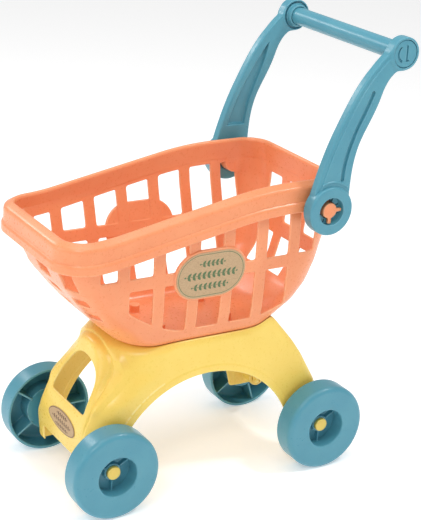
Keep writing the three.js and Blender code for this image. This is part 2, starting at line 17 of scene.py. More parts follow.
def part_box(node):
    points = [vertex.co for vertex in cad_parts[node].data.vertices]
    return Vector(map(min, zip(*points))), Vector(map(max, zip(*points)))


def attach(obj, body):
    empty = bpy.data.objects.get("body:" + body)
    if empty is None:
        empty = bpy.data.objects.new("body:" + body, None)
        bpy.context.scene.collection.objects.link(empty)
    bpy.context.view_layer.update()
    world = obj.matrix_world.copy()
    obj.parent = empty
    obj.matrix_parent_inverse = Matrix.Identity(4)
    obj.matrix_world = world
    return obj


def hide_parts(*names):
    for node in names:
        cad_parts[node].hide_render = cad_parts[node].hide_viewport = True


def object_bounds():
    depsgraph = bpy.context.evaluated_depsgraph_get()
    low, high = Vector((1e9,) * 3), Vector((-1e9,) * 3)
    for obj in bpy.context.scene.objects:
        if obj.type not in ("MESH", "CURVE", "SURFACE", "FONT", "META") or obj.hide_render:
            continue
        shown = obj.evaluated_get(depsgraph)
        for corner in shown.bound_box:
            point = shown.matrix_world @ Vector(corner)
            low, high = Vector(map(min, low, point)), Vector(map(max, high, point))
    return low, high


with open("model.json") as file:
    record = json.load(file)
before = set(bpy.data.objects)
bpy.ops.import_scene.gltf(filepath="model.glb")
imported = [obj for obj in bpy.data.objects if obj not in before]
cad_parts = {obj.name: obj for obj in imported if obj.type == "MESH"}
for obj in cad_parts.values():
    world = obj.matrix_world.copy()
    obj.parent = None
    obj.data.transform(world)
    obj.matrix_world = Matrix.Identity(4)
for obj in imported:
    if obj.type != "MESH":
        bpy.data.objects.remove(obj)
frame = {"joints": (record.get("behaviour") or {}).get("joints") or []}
cad_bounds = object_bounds()

# ---------------- places from the frame

MM = 0.001
JOINTS = {joint["name"]: np.array(joint["pos_m"]) / MM for joint in frame["joints"]}
FRONT_AXLE = JOINTS["front_left_spin"]
REAR_AXLE = JOINTS["rear_left_spin"]
MID_Y = (FRONT_AXLE[1] + REAR_AXLE[1]) / 2
AXLE_Y = (REAR_AXLE[1] - FRONT_AXLE[1]) / 2
AXLE_Z = FRONT_AXLE[2]
PIVOT_Y = JOINTS["handle_fold"][1] - MID_Y
PIVOT_Z = JOINTS["handle_fold"][2]


def extent(node):
    """A CAD node's lowest and highest corners, in this script's millimetres."""
    low, high = (np.array(corner) / MM - [0, MID_Y, 0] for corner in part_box(node))
    return low, high


WHEEL_LOW, WHEEL_HIGH = extent("wheel_front_left")
WHEEL_RADIUS = (WHEEL_HIGH[2] - WHEEL_LOW[2]) / 2
WHEEL_FACE_X = WHEEL_HIGH[0]
HUB_BACK_X = WHEEL_LOW[0]
PIN_LOW, PIN_HIGH = extent("axle_pin_front_left")
CHASSIS_LOW, CHASSIS_HIGH = extent("chassis")
BASKET_LOW, BASKET_HIGH = extent("basket")
ARM_LOW, ARM_HIGH = extent("handle_arm_left")
BAR_LOW, BAR_HIGH = extent("handle_bar")
CAP_LOW, CAP_HIGH = extent("bar_cap_left")
BADGE_LOW, BADGE_HIGH = extent("basket_badge_left")
FRONT_BADGE_LOW, FRONT_BADGE_HIGH = extent("front_badge")
SCREW_LOW, SCREW_HIGH = extent("basket_screw_front_left")

# ---------------- driving dimensions

WALL = 2.5  # moulded wall thickness
FIT_GAP = 0.3

SIDE_X = CHASSIS_HIGH[0]
ARCH_RADIUS = 95.8
ARCH_CENTRE = (-7.3, 16.2)  # y, z
LIP_WIDTH = 6.6  # the raised lip along the arch
LIP_RISE = 0.7
PANEL_EDGE_Z = 34.8  # bottom edge of the front panel
REAR_LEG_Z = 29.8
LEG_WIDTH = 10  # how far the front legs reach in from the sides below the panel
LEG_TIP_Z = CHASSIS_LOW[2]
REAR_EDGE_Z = 68
SOCKET_RADIUS = 9
PIN_RADIUS = 5

FLOOR_Z = 143.4  # underside of the basket floor
RIM_FRONT_Z = 257
RIM_SLOPE = 0.191
RIM_CLIMB_START = -145
RIM_CLIMB_BEND = 40  # length of the bend where the rim starts to climb
RIM_CLIMB_END = 2
RIM_LEVEL_BEND = 60  # length of the bend where it levels out
RIM_HALF_WIDTH = 72.5
RIM_FRONT = 157.5
RIM_REAR = 114.5
RIM_CORNER = 25
RIM_WALL = 1.25  # half the thickness of the rolled rim
WALL_TOP_DROP = 11  # the tub's own wall ends this far below the ridge, inside the roll

PEG_RADIUS = 7.2
LUG_REACH = 12
LUG_THICKNESS = 3.2
PEG_ROOT_X = 70
SHOULDER_RADIUS = 11.5
SHOULDER_X = 81

WINDOW_FIRST_Y = -120
WINDOW_PITCH = 34.4
WINDOW_WIDTH = 23
WINDOW_COLUMNS = 7
WINDOW_LEAN = 0.08
WINDOW_ROUNDING = 2.5
WINDOW_LOWEST_Z = 159
WINDOW_FLAT_FRONT = -40  # the windows' lower edge is level between these two
WINDOW_FLAT_REAR = 35
WINDOW_FRONT_RUN = 57
WINDOW_FRONT_CLIMB = 28
WINDOW_REAR_RUN = 30
WINDOW_REAR_CLIMB = 11
END_COLUMN_REACH = 5  # how far the first and last columns reach towards the corners
NO_WINDOW = 20  # added to a window's distance, it leaves the wall whole
RIM_BAND = 20  # plain wall between the upper windows and the rim's ridge
MID_RAIL_LOW = 208.5
MID_RAIL_HIGH = 220.7
SIDE_WALL_X = 40  # side windows cut only what is further out than this
END_WALL_Y = 84  # and end windows only what is further forward or back than this

FRONT_SLOTS_MEASURED_Z = 220  # the height at which the front slots have the widths below
FRONT_SLOT_HALF = 11.5
FRONT_OUTER_SLOT_X = 47
FRONT_OUTER_SLOT_HALF = 8
FRONT_SLOT_ROWS = ((181, 3.2), (197, 3.6))  # each row's middle and half height
FRONT_TOP_ROW_Z = 210
REAR_WINDOW_COLUMNS = ((0, 10.5), (33, 10.5))  # each column's middle and half width
REAR_WINDOW_ROWS = ((190, 16), (241, 20.5))

BADGE_TILT = 0.15  # lean of the basket's side wall, in radians
BADGE_LENGTH = BADGE_HIGH[1] - BADGE_LOW[1]
BADGE_HEIGHT = 45.9
BADGE_X = 67.6
BADGE_CENTRE = np.array([BADGE_X, *((BADGE_LOW + BADGE_HIGH) / 2)[1:]])
PAD_FACE = 0.9  # the oval pad's face, outward from the badge's centre
PAD_DEPTH = 3.2
PAD_MARGIN = 1.7  # how much wider the pad is than its sticker, all round

DISC_RADIUS = 22.5
DISC_FACE_X = ARM_HIGH[0]
DISC_HOLE_RADIUS = 12.7
ARM_INNER_X = 81.6
ARM_OUTER_X = 91.6
EYE_Y = (BAR_LOW[1] + BAR_HIGH[1]) / 2
EYE_Z = (BAR_LOW[2] + BAR_HIGH[2]) / 2
EYE_RADIUS = 15
BAR_RADIUS = (BAR_HIGH[2] - BAR_LOW[2]) / 2
BAR_BORE = 6.2
CAP_RADIUS = 12.3

# ---------------- fields


def smooth_max(a, b, size):
    """The larger of two fields, with the edge where they cross rounded over about size.

    That is the last number given to smooth_max, smooth_min and carve: a fillet's size.
    """
    share = np.clip(0.5 + 0.5 * (a - b) / size, 0, 1)
    return b + (a - b) * share + size * share * (1 - share)


def smooth_min(a, b, size):
    return -smooth_max(-a, -b, size)


def smooth_step(value, start, end):
    share = np.clip((value - start) / (end - start), 0, 1)
    return share * share * (3 - 2 * share)


def length(u, v):
    return np.sqrt(u * u + v * v)


def carve(body, hole, size=0.8):
    return smooth_max(body, -hole, size)


def rounded_corner(u, v, radius):
    """The distance to a corner's outline, from how far u and v are past its circle's centre."""
    return length(np.maximum(u, 0), np.maximum(v, 0)) + np.minimum(np.maximum(u, v), 0) - radius


def rounded_box(u, v, half_u, half_v, radius):
    """A flat rectangle's distance, centred on the origin, with rounded corners."""
    return rounded_corner(np.abs(u) - (half_u - radius), np.abs(v) - (half_v - radius), radius)


def chain(u, v, points):
    """The distance to a line through the points, in straight runs from each to the next."""
    nearest = None
    for (u0, v0), (u1, v1) in zip(points, points[1:]):
        run_u, run_v = u1 - u0, v1 - v0
        share = np.clip(((u - u0) * run_u + (v - v0) * run_v) / (run_u**2 + run_v**2), 0, 1)
        gap = (u - u0 - share * run_u) ** 2 + (v - v0 - share * run_v) ** 2
        nearest = gap if nearest is None else np.minimum(nearest, gap)
    return np.sqrt(nearest)


def polygon(u, v, points):
    """The signed distance to a closed outline, below zero inside."""
    inside = False
    for (u0, v0), (u1, v1) in zip(points, [*points[1:], points[0]]):
        crosses = (v0 > v) != (v1 > v)
        rise = v1 - v0 if v1 != v0 else 1e-9
        inside = inside ^ (crosses & (u < (u1 - u0) * (v - v0) / rise + u0))
    return chain(u, v, [*points, points[0]]) * np.where(inside, -1, 1)


def bezier(start, first, second, end, steps=10):
    """Points along a cubic curve, without its start."""
    corners = [np.array(point, float) for point in (start, first, second, end)]
    points = []
    for t in np.arange(1, steps + 1) / steps:
        weights = ((1 - t) ** 3, 3 * t * (1 - t) ** 2, 3 * t * t * (1 - t), t**3)
        points.append(tuple(sum(w * corner for w, corner in zip(weights, corners))))
    return points


def arc(centre, radius, start, end, steps=6):
    """Points along a circle, angles in degrees."""
    angles = np.radians(np.linspace(start, end, steps + 1))
    return [(centre[0] + radius * math.cos(a), centre[1] + radius * math.sin(a)) for a in angles]


def smooth_line(knots, spread):
    """A function through the knots, with its bends eased over about spread on each side."""
    at, value = np.array(knots, float).T
    step = 0.5
    fine = np.arange(at[0] - 2 * spread, at[-1] + 2 * spread, step)
    raw = np.interp(fine, at, value)
    first = (value[1] - value[0]) / (at[1] - at[0])
    last = (value[-1] - value[-2]) / (at[-1] - at[-2])
    raw += np.minimum(fine - at[0], 0) * first + np.maximum(fine - at[-1], 0) * last
    reach = int(spread / step)
    window = np.hanning(2 * reach + 1)
    eased = np.convolve(raw, window / window.sum(), "valid")
    kept = fine[reach:len(fine) - reach]
    return lambda where: np.interp(where, kept, eased).astype(np.asarray(where).dtype)


def sheet(line, along, across):
    """The distance from across up to a line that is a function of along."""
    lean = line(along + 1) - line(along - 1)
    return (across - line(along)) / np.sqrt(1 + lean * lean / 4)


# ---------------- skinning


def gradient_of(field, points, reach=0.05):
    columns = [points[:, i] for i in range(3)]
    result = np.empty_like(points)
    for i in range(3):
        ahead, behind = list(columns), list(columns)
        ahead[i] = columns[i] + reach
        behind[i] = columns[i] - reach
        result[:, i] = (field(*ahead) - field(*behind)) / (2 * reach)
    return result


def settle(field, points, step):
    """Moves the points on to the field's zero surface and returns them with its normals."""
    for _ in range(3):
        slope = gradient_of(field, points)
        steep = np.maximum((slope * slope).sum(1), 0.1)
        move = np.clip(field(*points.T) / steep, -0.3 * step, 0.3 * step)
        points = points - slope * move[:, None]
    slope = gradient_of(field, points)
    return points, slope / np.maximum(np.linalg.norm(slope, axis=1), 1e-6)[:, None]


def skin(field, low, high, step, mirrored=False):
    """The zero surface of a field inside a box: points, quads and normals, in millimetres."""
    axes = [np.arange(a, b + step, step, dtype=np.float32) for a, b in zip(low, high)]
    shape = tuple(len(axis) for axis in axes)
    values = np.broadcast_to(field(*np.ix_(*axes)), shape)
    limit = 3 * step
    values = np.clip(values, -limit, limit).astype(np.float32)
    origin = np.array([axis[0] for axis in axes], float)
    if mirrored:
        values = np.concatenate([values[:0:-1], values])
        origin[0] = -axes[0][-1]
    grid = openvdb.FloatGrid(limit)
    grid.copyFromArray(np.ascontiguousarray(values))
    points, quads = grid.convertToQuads(0.0)
    whole = (lambda x, y, z: field(np.abs(x), y, z)) if mirrored else field
    points, normals = settle(whole, points.astype(float) * step + origin, step)
    return points, quads, normals


def mesh_from(name, points, quads, normals, material, offset=(0, MID_Y, 0)):
    """A smooth mesh in metres; offset takes the surface's own millimetres to the frame's."""
    mesh = bpy.data.meshes.new(name)
    mesh.from_pydata((points + offset) * MM, [], quads.tolist())
    mesh.validate()
    mesh.polygons.foreach_set("use_smooth", np.ones(len(mesh.polygons), bool))
    mesh.normals_split_custom_set_from_vertices(normals.tolist())
    mesh.materials.append(material)
    return mesh


def add_piece(name, mesh, body, node, place=None):
    """One piece that rides a body and stands for a CAD node; place is where its mesh goes.
    """
    piece = bpy.data.objects.new(name, mesh)
    bpy.context.scene.collection.objects.link(piece)
    if place:
        piece.matrix_world = place
    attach(piece, body)
    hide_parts(node)


def mirror_x(points, quads, normals):
    flip = np.array([-1, 1, 1])
    return points * flip, quads[:, ::-1], normals * flip


# ---------------- basket

# Level sections of the tub's outside, at each height.
TUB_HALF_WIDTH = smooth_line([(143, 51.5), (156, 55.5), (170, 60), (186, 63), (207, 66.3), (226, 68.9),
                              (253, 72.5), (300, 72.6)], 6)
TUB_FRONT = smooth_line([(143, 83), (156, 98), (170, 113), (186, 127), (207, 143), (226, 152),
                         (253, 157.5), (300, 157.6)], 6)
TUB_REAR = smooth_line([(143, 62), (156, 76), (170, 92), (186, 103), (207, 109), (226, 111.5),
                        (253, 114.5), (300, 114.6)], 6)
TUB_CORNER = smooth_line([(143, 28), (156, 30), (186, 32), (226, 30), (253, 25), (300, 25)], 6)


def plan_distance(x, y, half_width, front, rear, corner):
    """How far a point is outside a level rounded rectangle."""
    v = np.abs(y - (rear - front) / 2) - ((front + rear) / 2 - corner)
    return rounded_corner(x - (half_width - corner), v, corner)


def tub(x, y, z):
    """The solid that the tub's outside bounds."""
    def section(level):
        return plan_distance(x, y, TUB_HALF_WIDTH(level), TUB_FRONT(level), TUB_REAR(level),
                             TUB_CORNER(level))
    lean = section(z + 1) - section(z - 1)
    wall = section(z) / np.sqrt(1 + lean * lean / 4)
    return smooth_max(wall, FLOOR_Z - z, 9)


def eased_run(y, start, bend):
    """How far y is past start, easing in over the length of the bend."""
    run = np.maximum(y - start, 0)
    return np.where(run < bend, run * run / (2 * bend), run - bend / 2).astype(np.asarray(y).dtype)


def ridge_height(y):
    """The rim is level at the front, climbs in a straight slope and levels out at the rear."""
    climb = eased_run(y, RIM_CLIMB_START, RIM_CLIMB_BEND) - eased_run(y, RIM_CLIMB_END, RIM_LEVEL_BEND)
    return RIM_FRONT_Z + RIM_SLOPE * climb


# The rolled rim's middle line: outward from the tub's wall, and up from the outer ridge.
RIM_LINE = [(-1.5, -15), (-4.2, 0.6), (-3.7, 1.9), (-2.6, 2.1), (1.3, -0.1), (2.5, -0.9), (3.2, -1.9),
            (3.5, -3.4), (3.6, -14.0), (5.0, -15.3), (5.5, -16.6), (5.5, -21.8)]


def window_foot(y):
    """The side windows' lower edge climbs towards both ends, as the tub's bottom does."""
    forward = np.maximum(WINDOW_FLAT_FRONT - y, 0) / WINDOW_FRONT_RUN
    rearward = np.maximum(y - WINDOW_FLAT_REAR, 0) / WINDOW_REAR_RUN
    return WINDOW_LOWEST_Z + WINDOW_FRONT_CLIMB * forward**1.6 + WINDOW_REAR_CLIMB * rearward**1.3


def side_windows(x, y, z):
    """Two rows of leaning windows, the lower without its end columns; below zero inside."""
    run = y - WINDOW_LEAN * (MID_RAIL_HIGH - z)
    column = np.clip(np.round((run - WINDOW_FIRST_Y) / WINDOW_PITCH), 0, WINDOW_COLUMNS - 1)
    across = run - WINDOW_FIRST_Y - WINDOW_PITCH * column
    half = WINDOW_WIDTH / 2
    first, last = column == 0, column == WINDOW_COLUMNS - 1
    ahead = np.where(first, END_COLUMN_REACH, half)
    behind = np.where(last, END_COLUMN_REACH, half)
    width = np.maximum(-across - ahead, across - behind)
    upper = np.maximum(MID_RAIL_HIGH - z, z - ridge_height(y) + RIM_BAND)
    lower = np.maximum(window_foot(run) - z, z - MID_RAIL_LOW)
    rows = np.minimum(upper, lower + np.where(first | last, NO_WINDOW, 0))
    return np.maximum(smooth_max(width, rows, WINDOW_ROUNDING), SIDE_WALL_X - x)


def bands(value, rows):
    """Below zero inside either of two bands, each given by its middle and half width."""
    (middle, half), (other_middle, other_half) = rows
    return np.minimum(np.abs(value - middle) - half, np.abs(value - other_middle) - other_half)


def end_windows(x, y, z):
    """The windows through the front and rear walls; below zero inside a window."""
    taper = TUB_HALF_WIDTH(z) / TUB_HALF_WIDTH(np.float32(FRONT_SLOTS_MEASURED_Z))
    middle = np.abs(x) - FRONT_SLOT_HALF * taper
    outer = np.abs(np.abs(x) - FRONT_OUTER_SLOT_X * taper) - FRONT_OUTER_SLOT_HALF * taper
    top_row = np.maximum(FRONT_TOP_ROW_Z - z, z - ridge_height(y) + RIM_BAND)
    front_rows = np.minimum(bands(z, FRONT_SLOT_ROWS), top_row)
    front = smooth_max(np.minimum(middle, outer), front_rows, 2)
    rear_columns = bands(np.abs(x), REAR_WINDOW_COLUMNS)
    rear = smooth_max(rear_columns, bands(z, REAR_WINDOW_ROWS), WINDOW_ROUNDING)
    return np.minimum(np.maximum(front, y + END_WALL_Y), np.maximum(rear, END_WALL_Y - y))


def badge_pad(x, y, z):
    """The raised oval that carries the side sticker."""
    cos, sin = math.cos(BADGE_TILT), math.sin(BADGE_TILT)
    out = (x - BADGE_CENTRE[0]) * cos - (z - BADGE_CENTRE[2]) * sin
    up = (x - BADGE_CENTRE[0]) * sin + (z - BADGE_CENTRE[2]) * cos
    end = BADGE_HEIGHT / 2 + PAD_MARGIN
    oval = rounded_box(y - BADGE_CENTRE[1], up, BADGE_LENGTH / 2 + PAD_MARGIN, end, end)
    return smooth_max(oval, np.abs(out - PAD_FACE + PAD_DEPTH / 2) - PAD_DEPTH / 2, 0.9)


def pivot_peg(x, y, z):
    """The round peg that carries the handle, with its shoulder and two lugs."""
    v, w = y - PIVOT_Y, z - PIVOT_Z
    around = length(v, w)
    end = BASKET_HIGH[0]
    peg = smooth_max(around - PEG_RADIUS, np.maximum(x - end, PEG_ROOT_X - x), 1)
    shoulder = smooth_max(around - SHOULDER_RADIUS, np.maximum(x - SHOULDER_X, PEG_ROOT_X - x), 1)
    half = LUG_THICKNESS / 2
    lug_rear = np.maximum(np.abs(w) - half, np.maximum(v - LUG_REACH, -v))
    lug_low = np.maximum(np.abs(v) - half, np.maximum(-w - LUG_REACH, w))
    lugs = smooth_max(np.minimum(lug_rear, lug_low), np.abs(x - end + half) - half, 0.6)
    return smooth_min(np.minimum(peg, shoulder), lugs, 0.4)


SCREW_X = (SCREW_LOW[0] + SCREW_HIGH[0]) / 2
SCREW_FRONT_Y = (SCREW_LOW[1] + SCREW_HIGH[1]) / 2
SCREW_REAR_Y = sum(corner[1] for corner in extent("basket_screw_rear_left")) / 2
BOSS_RADIUS = 4.6
BOSS_HEIGHT = 11
PILOT_RADIUS = 1.9
PILOT_DEPTH = 8.5
CLEARANCE_RADIUS = 2.2


def from_screw(x, y):
    """The distance from the nearest screw's axis."""
    return length(x - SCREW_X, np.minimum(np.abs(y - SCREW_FRONT_Y), np.abs(y - SCREW_REAR_Y)))


def basket_field(x, y, z):
    """The tub's wall with its windows, the rolled rim, the pads, the pegs and the bosses."""
    outside = tub(x, y, z)
    rise = z - ridge_height(y)
    wall = smooth_max(outside, -(outside + WALL), 0.8)
    wall = np.maximum(wall, rise + WALL_TOP_DROP)
    windows = np.minimum(side_windows(x, y, z), end_windows(x, y, z))
    wall = carve(wall, windows, 1.1)
    outward = plan_distance(x, y, RIM_HALF_WIDTH, RIM_FRONT, RIM_REAR, RIM_CORNER)
    rim = chain(outward, rise, RIM_LINE) - RIM_WALL
    body = smooth_min(wall, rim, 1.2)
    body = smooth_min(body, badge_pad(x, y, z), 0.8)
    body = smooth_min(body, pivot_peg(x, y, z), 1.5)
    around = from_screw(x, y)
    boss = smooth_max(around - BOSS_RADIUS, np.maximum(z - FLOOR_Z - BOSS_HEIGHT, FLOOR_Z + 1 - z), 1)
    body = smooth_min(body, boss, 1.5)
    return np.maximum(body, -np.maximum(around - PILOT_RADIUS, z - FLOOR_Z - PILOT_DEPTH))


# ---------------- chassis

# The outside's y at each height, at the front and at the rear, and its height at each y.
FRONT_LINE = smooth_line([(10, -122.5), (34.8, -124.6), (45, -126), (61, -127.4), (73.9, -125.4),
                          (88.5, -119.8), (109.3, -109.3), (125.4, -104), (141, -101.5), (150, -95),
                          (160, -82)], 6)
REAR_LINE = smooth_line([(0, 123.3), (46, 123.3), (66, 120), (81.8, 114.2), (95.2, 106.4),
                         (110.9, 97.4), (125.4, 87.4), (137.8, 77.3), (152.3, 65), (163.5, 54.9)], 5)
TOP_LINE = smooth_line([(-130, 150), (-60, 149), (30, 149), (46, 152), (56, 158), (75, 166)], 6)
# The radius between the front and the sides, at each height.
CORNER_LINE = smooth_line([(40, 1.5), (48, 3), (59, 12.5), (72, 20), (86, 22.4), (94, 24), (109, 38),
                           (120, 49), (135, 55), (160, 56)], 6)

# The front panel's window, the line of the groove round it, and the ridge beyond the groove.
WINDOW_OUTLINE = [(0, 81), *arc((29.5, 84.5), 3.6, -90, 8, 4),
                  *bezier((31.6, 95), (30, 112), (19, 125), (0, 125), 12)]
WINDOW_OUTLINE += [(-x, z) for x, z in reversed(WINDOW_OUTLINE[1:-1])]
HOOD_OUTLINE = [(42.5, 0), (42.5, 88), (40.5, 100), (37, 114),
                *bezier((37, 114), (35, 132), (24, 142), (0, 142))]
HOOD_OUTLINE += [(-x, z) for x, z in reversed(HOOD_OUTLINE[:-1])]
RIDGE_LINE = smooth_line([(84, 45), (90, 46.2), (106, 47), (120, 46.5), (125, 45), (137, 35), (145, 28)], 2)
ROLL_RISE = 2
ROLL_FADE = (76, 94)  # the heights over which the roll round the window comes in
PANEL_GROOVE_DEPTH = 0.9
PANEL_GROOVE_SPREAD = 1.2
PANEL_GROOVE_FADE = (52, 80)
RIDGE_RISE = 1.9
RIDGE_INNER_RUN = 9  # the ridge's gentle flank, on the side of the window
RIDGE_OUTER_RUN = 3.5
RIDGE_FADE_IN = (80, 92)
RIDGE_FADE_OUT = (139, 130)
PANEL_FADE_Y = (-68, -80)  # the relief is only on what is further forward than this
REAR_GAP_HALF = 42
REAR_GAP_CORNER = 22
FRONT_CUT_Y = -90  # openings cut only what is further forward than this
WINDOW_CUT_Y = -88
REAR_CUT_Y = 80
SOCKET_INNER_X = 40


def panel_relief(x, y, z):
    """How far the front panel stands out from a plain skin, and the distance to its window."""
    window = polygon(x, z, WINDOW_OUTLINE)
    hood = polygon(x, z, HOOD_OUTLINE)
    across = np.clip(window / np.maximum(window - hood, 0.1), 0, 1)
    roll = ROLL_RISE * np.sin(math.pi * across) * smooth_step(z, *ROLL_FADE) * (hood < 0)
    groove = np.exp(-(hood / PANEL_GROOVE_SPREAD) ** 2) * smooth_step(z, *PANEL_GROOVE_FADE)
    past = x - RIDGE_LINE(z)
    ridge = np.clip(np.where(past < 0, 1 + past / RIDGE_INNER_RUN, 1 - past / RIDGE_OUTER_RUN), 0, 1)
    ridge = RIDGE_RISE * ridge * smooth_step(z, *RIDGE_FADE_IN) * smooth_step(z, *RIDGE_FADE_OUT)
    relief = roll - PANEL_GROOVE_DEPTH * groove + ridge
    return relief * smooth_step(y, *PANEL_FADE_Y), window


def chassis_envelope(x, y, z, relief):
    """The solid that the chassis skin's outside bounds."""
    front = -sheet(FRONT_LINE, z, y)
    rear = sheet(REAR_LINE, z, y)
    top = sheet(TOP_LINE, y, z)
    from_arch = length(y - ARCH_CENTRE[0], z - ARCH_CENTRE[1])
    lip = LIP_RISE * smooth_step(from_arch, ARCH_RADIUS + LIP_WIDTH + 1, ARCH_RADIUS + LIP_WIDTH - 1)
    side = x - SIDE_X + LIP_RISE - lip + 1.5 * smooth_step(z, 110, 150)
    corner = CORNER_LINE(z)
    body = rounded_corner(side + corner, front + corner, corner)
    body = smooth_max(body, top, 10 + 12 * smooth_step(y, -45, -90))
    return smooth_max(body, rear, 8) - relief


def chassis_field(x, y, z):
    """The arched shell, with its openings, the axle pins' sockets and the screws' holes."""
    relief, window = panel_relief(x, y, z)
    outside = chassis_envelope(x, y, z, relief)
    outside = carve(outside, tub(x, y, z) - FIT_GAP, 1.5)
    body = smooth_max(outside, -(outside + WALL), 0.8)
    from_arch = length(y - ARCH_CENTRE[0], z - ARCH_CENTRE[1])
    foot = np.where(y < 0, LEG_TIP_Z, REAR_LEG_Z).astype(np.asarray(y).dtype) - z
    legs = smooth_max(ARCH_RADIUS - from_arch, foot, 4)
    toe = smooth_max(FRONT_LINE(z) - y, foot, 6)
    heel = smooth_max(sheet(REAR_LINE, z, y), foot, 13)
    body = smooth_max(body, np.maximum(legs, np.maximum(toe, heel)), 1.2)
    front_gap = rounded_box(x, z, SIDE_X - LEG_WIDTH, PANEL_EDGE_Z, 4.5)
    body = carve(body, np.maximum(front_gap, y - FRONT_CUT_Y), 1.2)
    body = carve(body, np.maximum(window, y - WINDOW_CUT_Y), 1.6)
    rear_gap = rounded_box(x, z, REAR_GAP_HALF, REAR_EDGE_Z, REAR_GAP_CORNER)
    body = carve(body, np.maximum(rear_gap, REAR_CUT_Y - y), 1.2)
    around = length(np.abs(y) - AXLE_Y, z - AXLE_Z)
    socket = smooth_max(around - SOCKET_RADIUS, np.maximum(x - SIDE_X + 1, SOCKET_INNER_X - x), 0.8)
    body = smooth_min(body, socket, 1.5)
    body = np.maximum(body, PIN_RADIUS + FIT_GAP - around)
    through_top = np.abs(z - FLOOR_Z + 3) - 5
    return np.maximum(body, -np.maximum(from_screw(x, y) - CLEARANCE_RADIUS, through_top))


# ---------------- wheels and pins

WHEEL_BACK_X = 62.4
RECESS_RADIUS = 18.7
HUB_FRONT_X = 73
BORE_RADIUS = 5.45
RIM_INSIDE = WHEEL_RADIUS - 2.8
WHEEL_RIBS = 5
RIB_PHASE = 36
RECESS_RIBS = 3
RECESS_RIB_PHASE = 30
WEB_BACK_X = 66  # back and front of the recess's floor
WEB_FRONT_X = 68.6
HUB_BACK_RADIUS = 8.8
HUB_FRONT_RADIUS = 8.2
FACE_LIP = 1.6
TREAD_EDGE = 5.2
BACK_EDGE = 0.8
INSIDE_CORNER = 3

# Half of the wheel's section, as (x, radius).
WHEEL_SECTION = [
    *arc((WHEEL_FACE_X - FACE_LIP, RECESS_RADIUS + FACE_LIP), FACE_LIP, 270, 360, 4),
    *arc((WHEEL_FACE_X - TREAD_EDGE, WHEEL_RADIUS - TREAD_EDGE), TREAD_EDGE, 0, 90, 8),
    *arc((WHEEL_BACK_X + BACK_EDGE, WHEEL_RADIUS - BACK_EDGE), BACK_EDGE, 90, 180, 3),
    *arc((WHEEL_BACK_X + BACK_EDGE, RIM_INSIDE + BACK_EDGE), BACK_EDGE, 180, 270, 3),
    *arc((WHEEL_FACE_X - 5.4, RIM_INSIDE - INSIDE_CORNER), INSIDE_CORNER, 90, 0, 4),
    (WHEEL_FACE_X - WALL, RECESS_RADIUS + WALL),
    (WEB_BACK_X, RECESS_RADIUS + WALL),
    (WEB_BACK_X, HUB_BACK_RADIUS),
    (HUB_BACK_X, HUB_BACK_RADIUS),
    (HUB_BACK_X, BORE_RADIUS),
    (HUB_FRONT_X, BORE_RADIUS),
    (HUB_FRONT_X, HUB_FRONT_RADIUS),
    (WEB_FRONT_X, HUB_FRONT_RADIUS),
    (WEB_FRONT_X, RECESS_RADIUS),
]


def spokes(y, z, count, phase, half_thickness):
    """Thin radial plates, each only on its own side of the axis."""
    angle = np.arctan2(z, y) - math.radians(phase)
    turn = 2 * math.pi / count
    angle = angle - turn * np.round(angle / turn)
    return (np.abs(np.sin(angle)) * length(y, z) - half_thickness).astype(np.asarray(y).dtype)


def wheel_field(x, y, z):
    """A wheel about the x axis: the turned section, ribs behind it and ribs in its recess."""
    radius = length(y, z)
    body = polygon(x, radius, WHEEL_SECTION)
    back = np.maximum(radius - RIM_INSIDE - 0.8, RECESS_RADIUS + 1.5 - radius)
    back_ribs = np.maximum(spokes(y, z, WHEEL_RIBS, RIB_PHASE, 1), back)
    back_ribs = smooth_max(back_ribs, np.maximum(WEB_BACK_X - 1.4 - x, x - WHEEL_FACE_X + 2), 0.6)
    recess = np.maximum(radius - RECESS_RADIUS - 0.8, HUB_FRONT_RADIUS - 0.8 - radius)
    recess_ribs = np.maximum(spokes(y, z, RECESS_RIBS, RECESS_RIB_PHASE, 0.8), recess)
    recess_ribs = smooth_max(recess_ribs, np.maximum(WEB_FRONT_X - 1.1 - x, x - HUB_FRONT_X + 0.6), 0.6)
    return smooth_min(body, np.minimum(back_ribs, recess_ribs), 1.2)


PIN_HEAD_X = HUB_FRONT_X + FIT_GAP
PIN_HEAD_RADIUS = 6.5
PIN_TIP_RADIUS = 3.9
BARB_RADIUS = 5.9
PIN_SLOT_HALF = 0.9
PIN_SLOT_DEPTH = 12
# Half of the pin's section from its barbed tip to its head, closed below the axis.
PIN_SECTION = [
    (PIN_LOW[0], -1), (PIN_LOW[0], PIN_TIP_RADIUS), (PIN_LOW[0] + 3, BARB_RADIUS),
    (PIN_LOW[0] + 4.5, BARB_RADIUS), (PIN_LOW[0] + 4.6, PIN_RADIUS), (PIN_HEAD_X, PIN_RADIUS),
    (PIN_HEAD_X, PIN_HEAD_RADIUS), (PIN_HEAD_X + 2, PIN_HEAD_RADIUS),
    *arc((PIN_HIGH[0] - 1.5, PIN_HEAD_RADIUS - 1.2), 1.2, 80, 30, 3), (PIN_HIGH[0], 2), (PIN_HIGH[0], -1),
]


def pin_field(x, y, z):
    """An axle pin, turned from its section, with a slot that lets the barbed tip spring."""
    body = polygon(x, length(y, z), PIN_SECTION)
    slot = np.maximum(np.abs(y) - PIN_SLOT_HALF, x - PIN_LOW[0] - PIN_SLOT_DEPTH)
    return carve(body, slot, 0.3)


# ---------------- handle

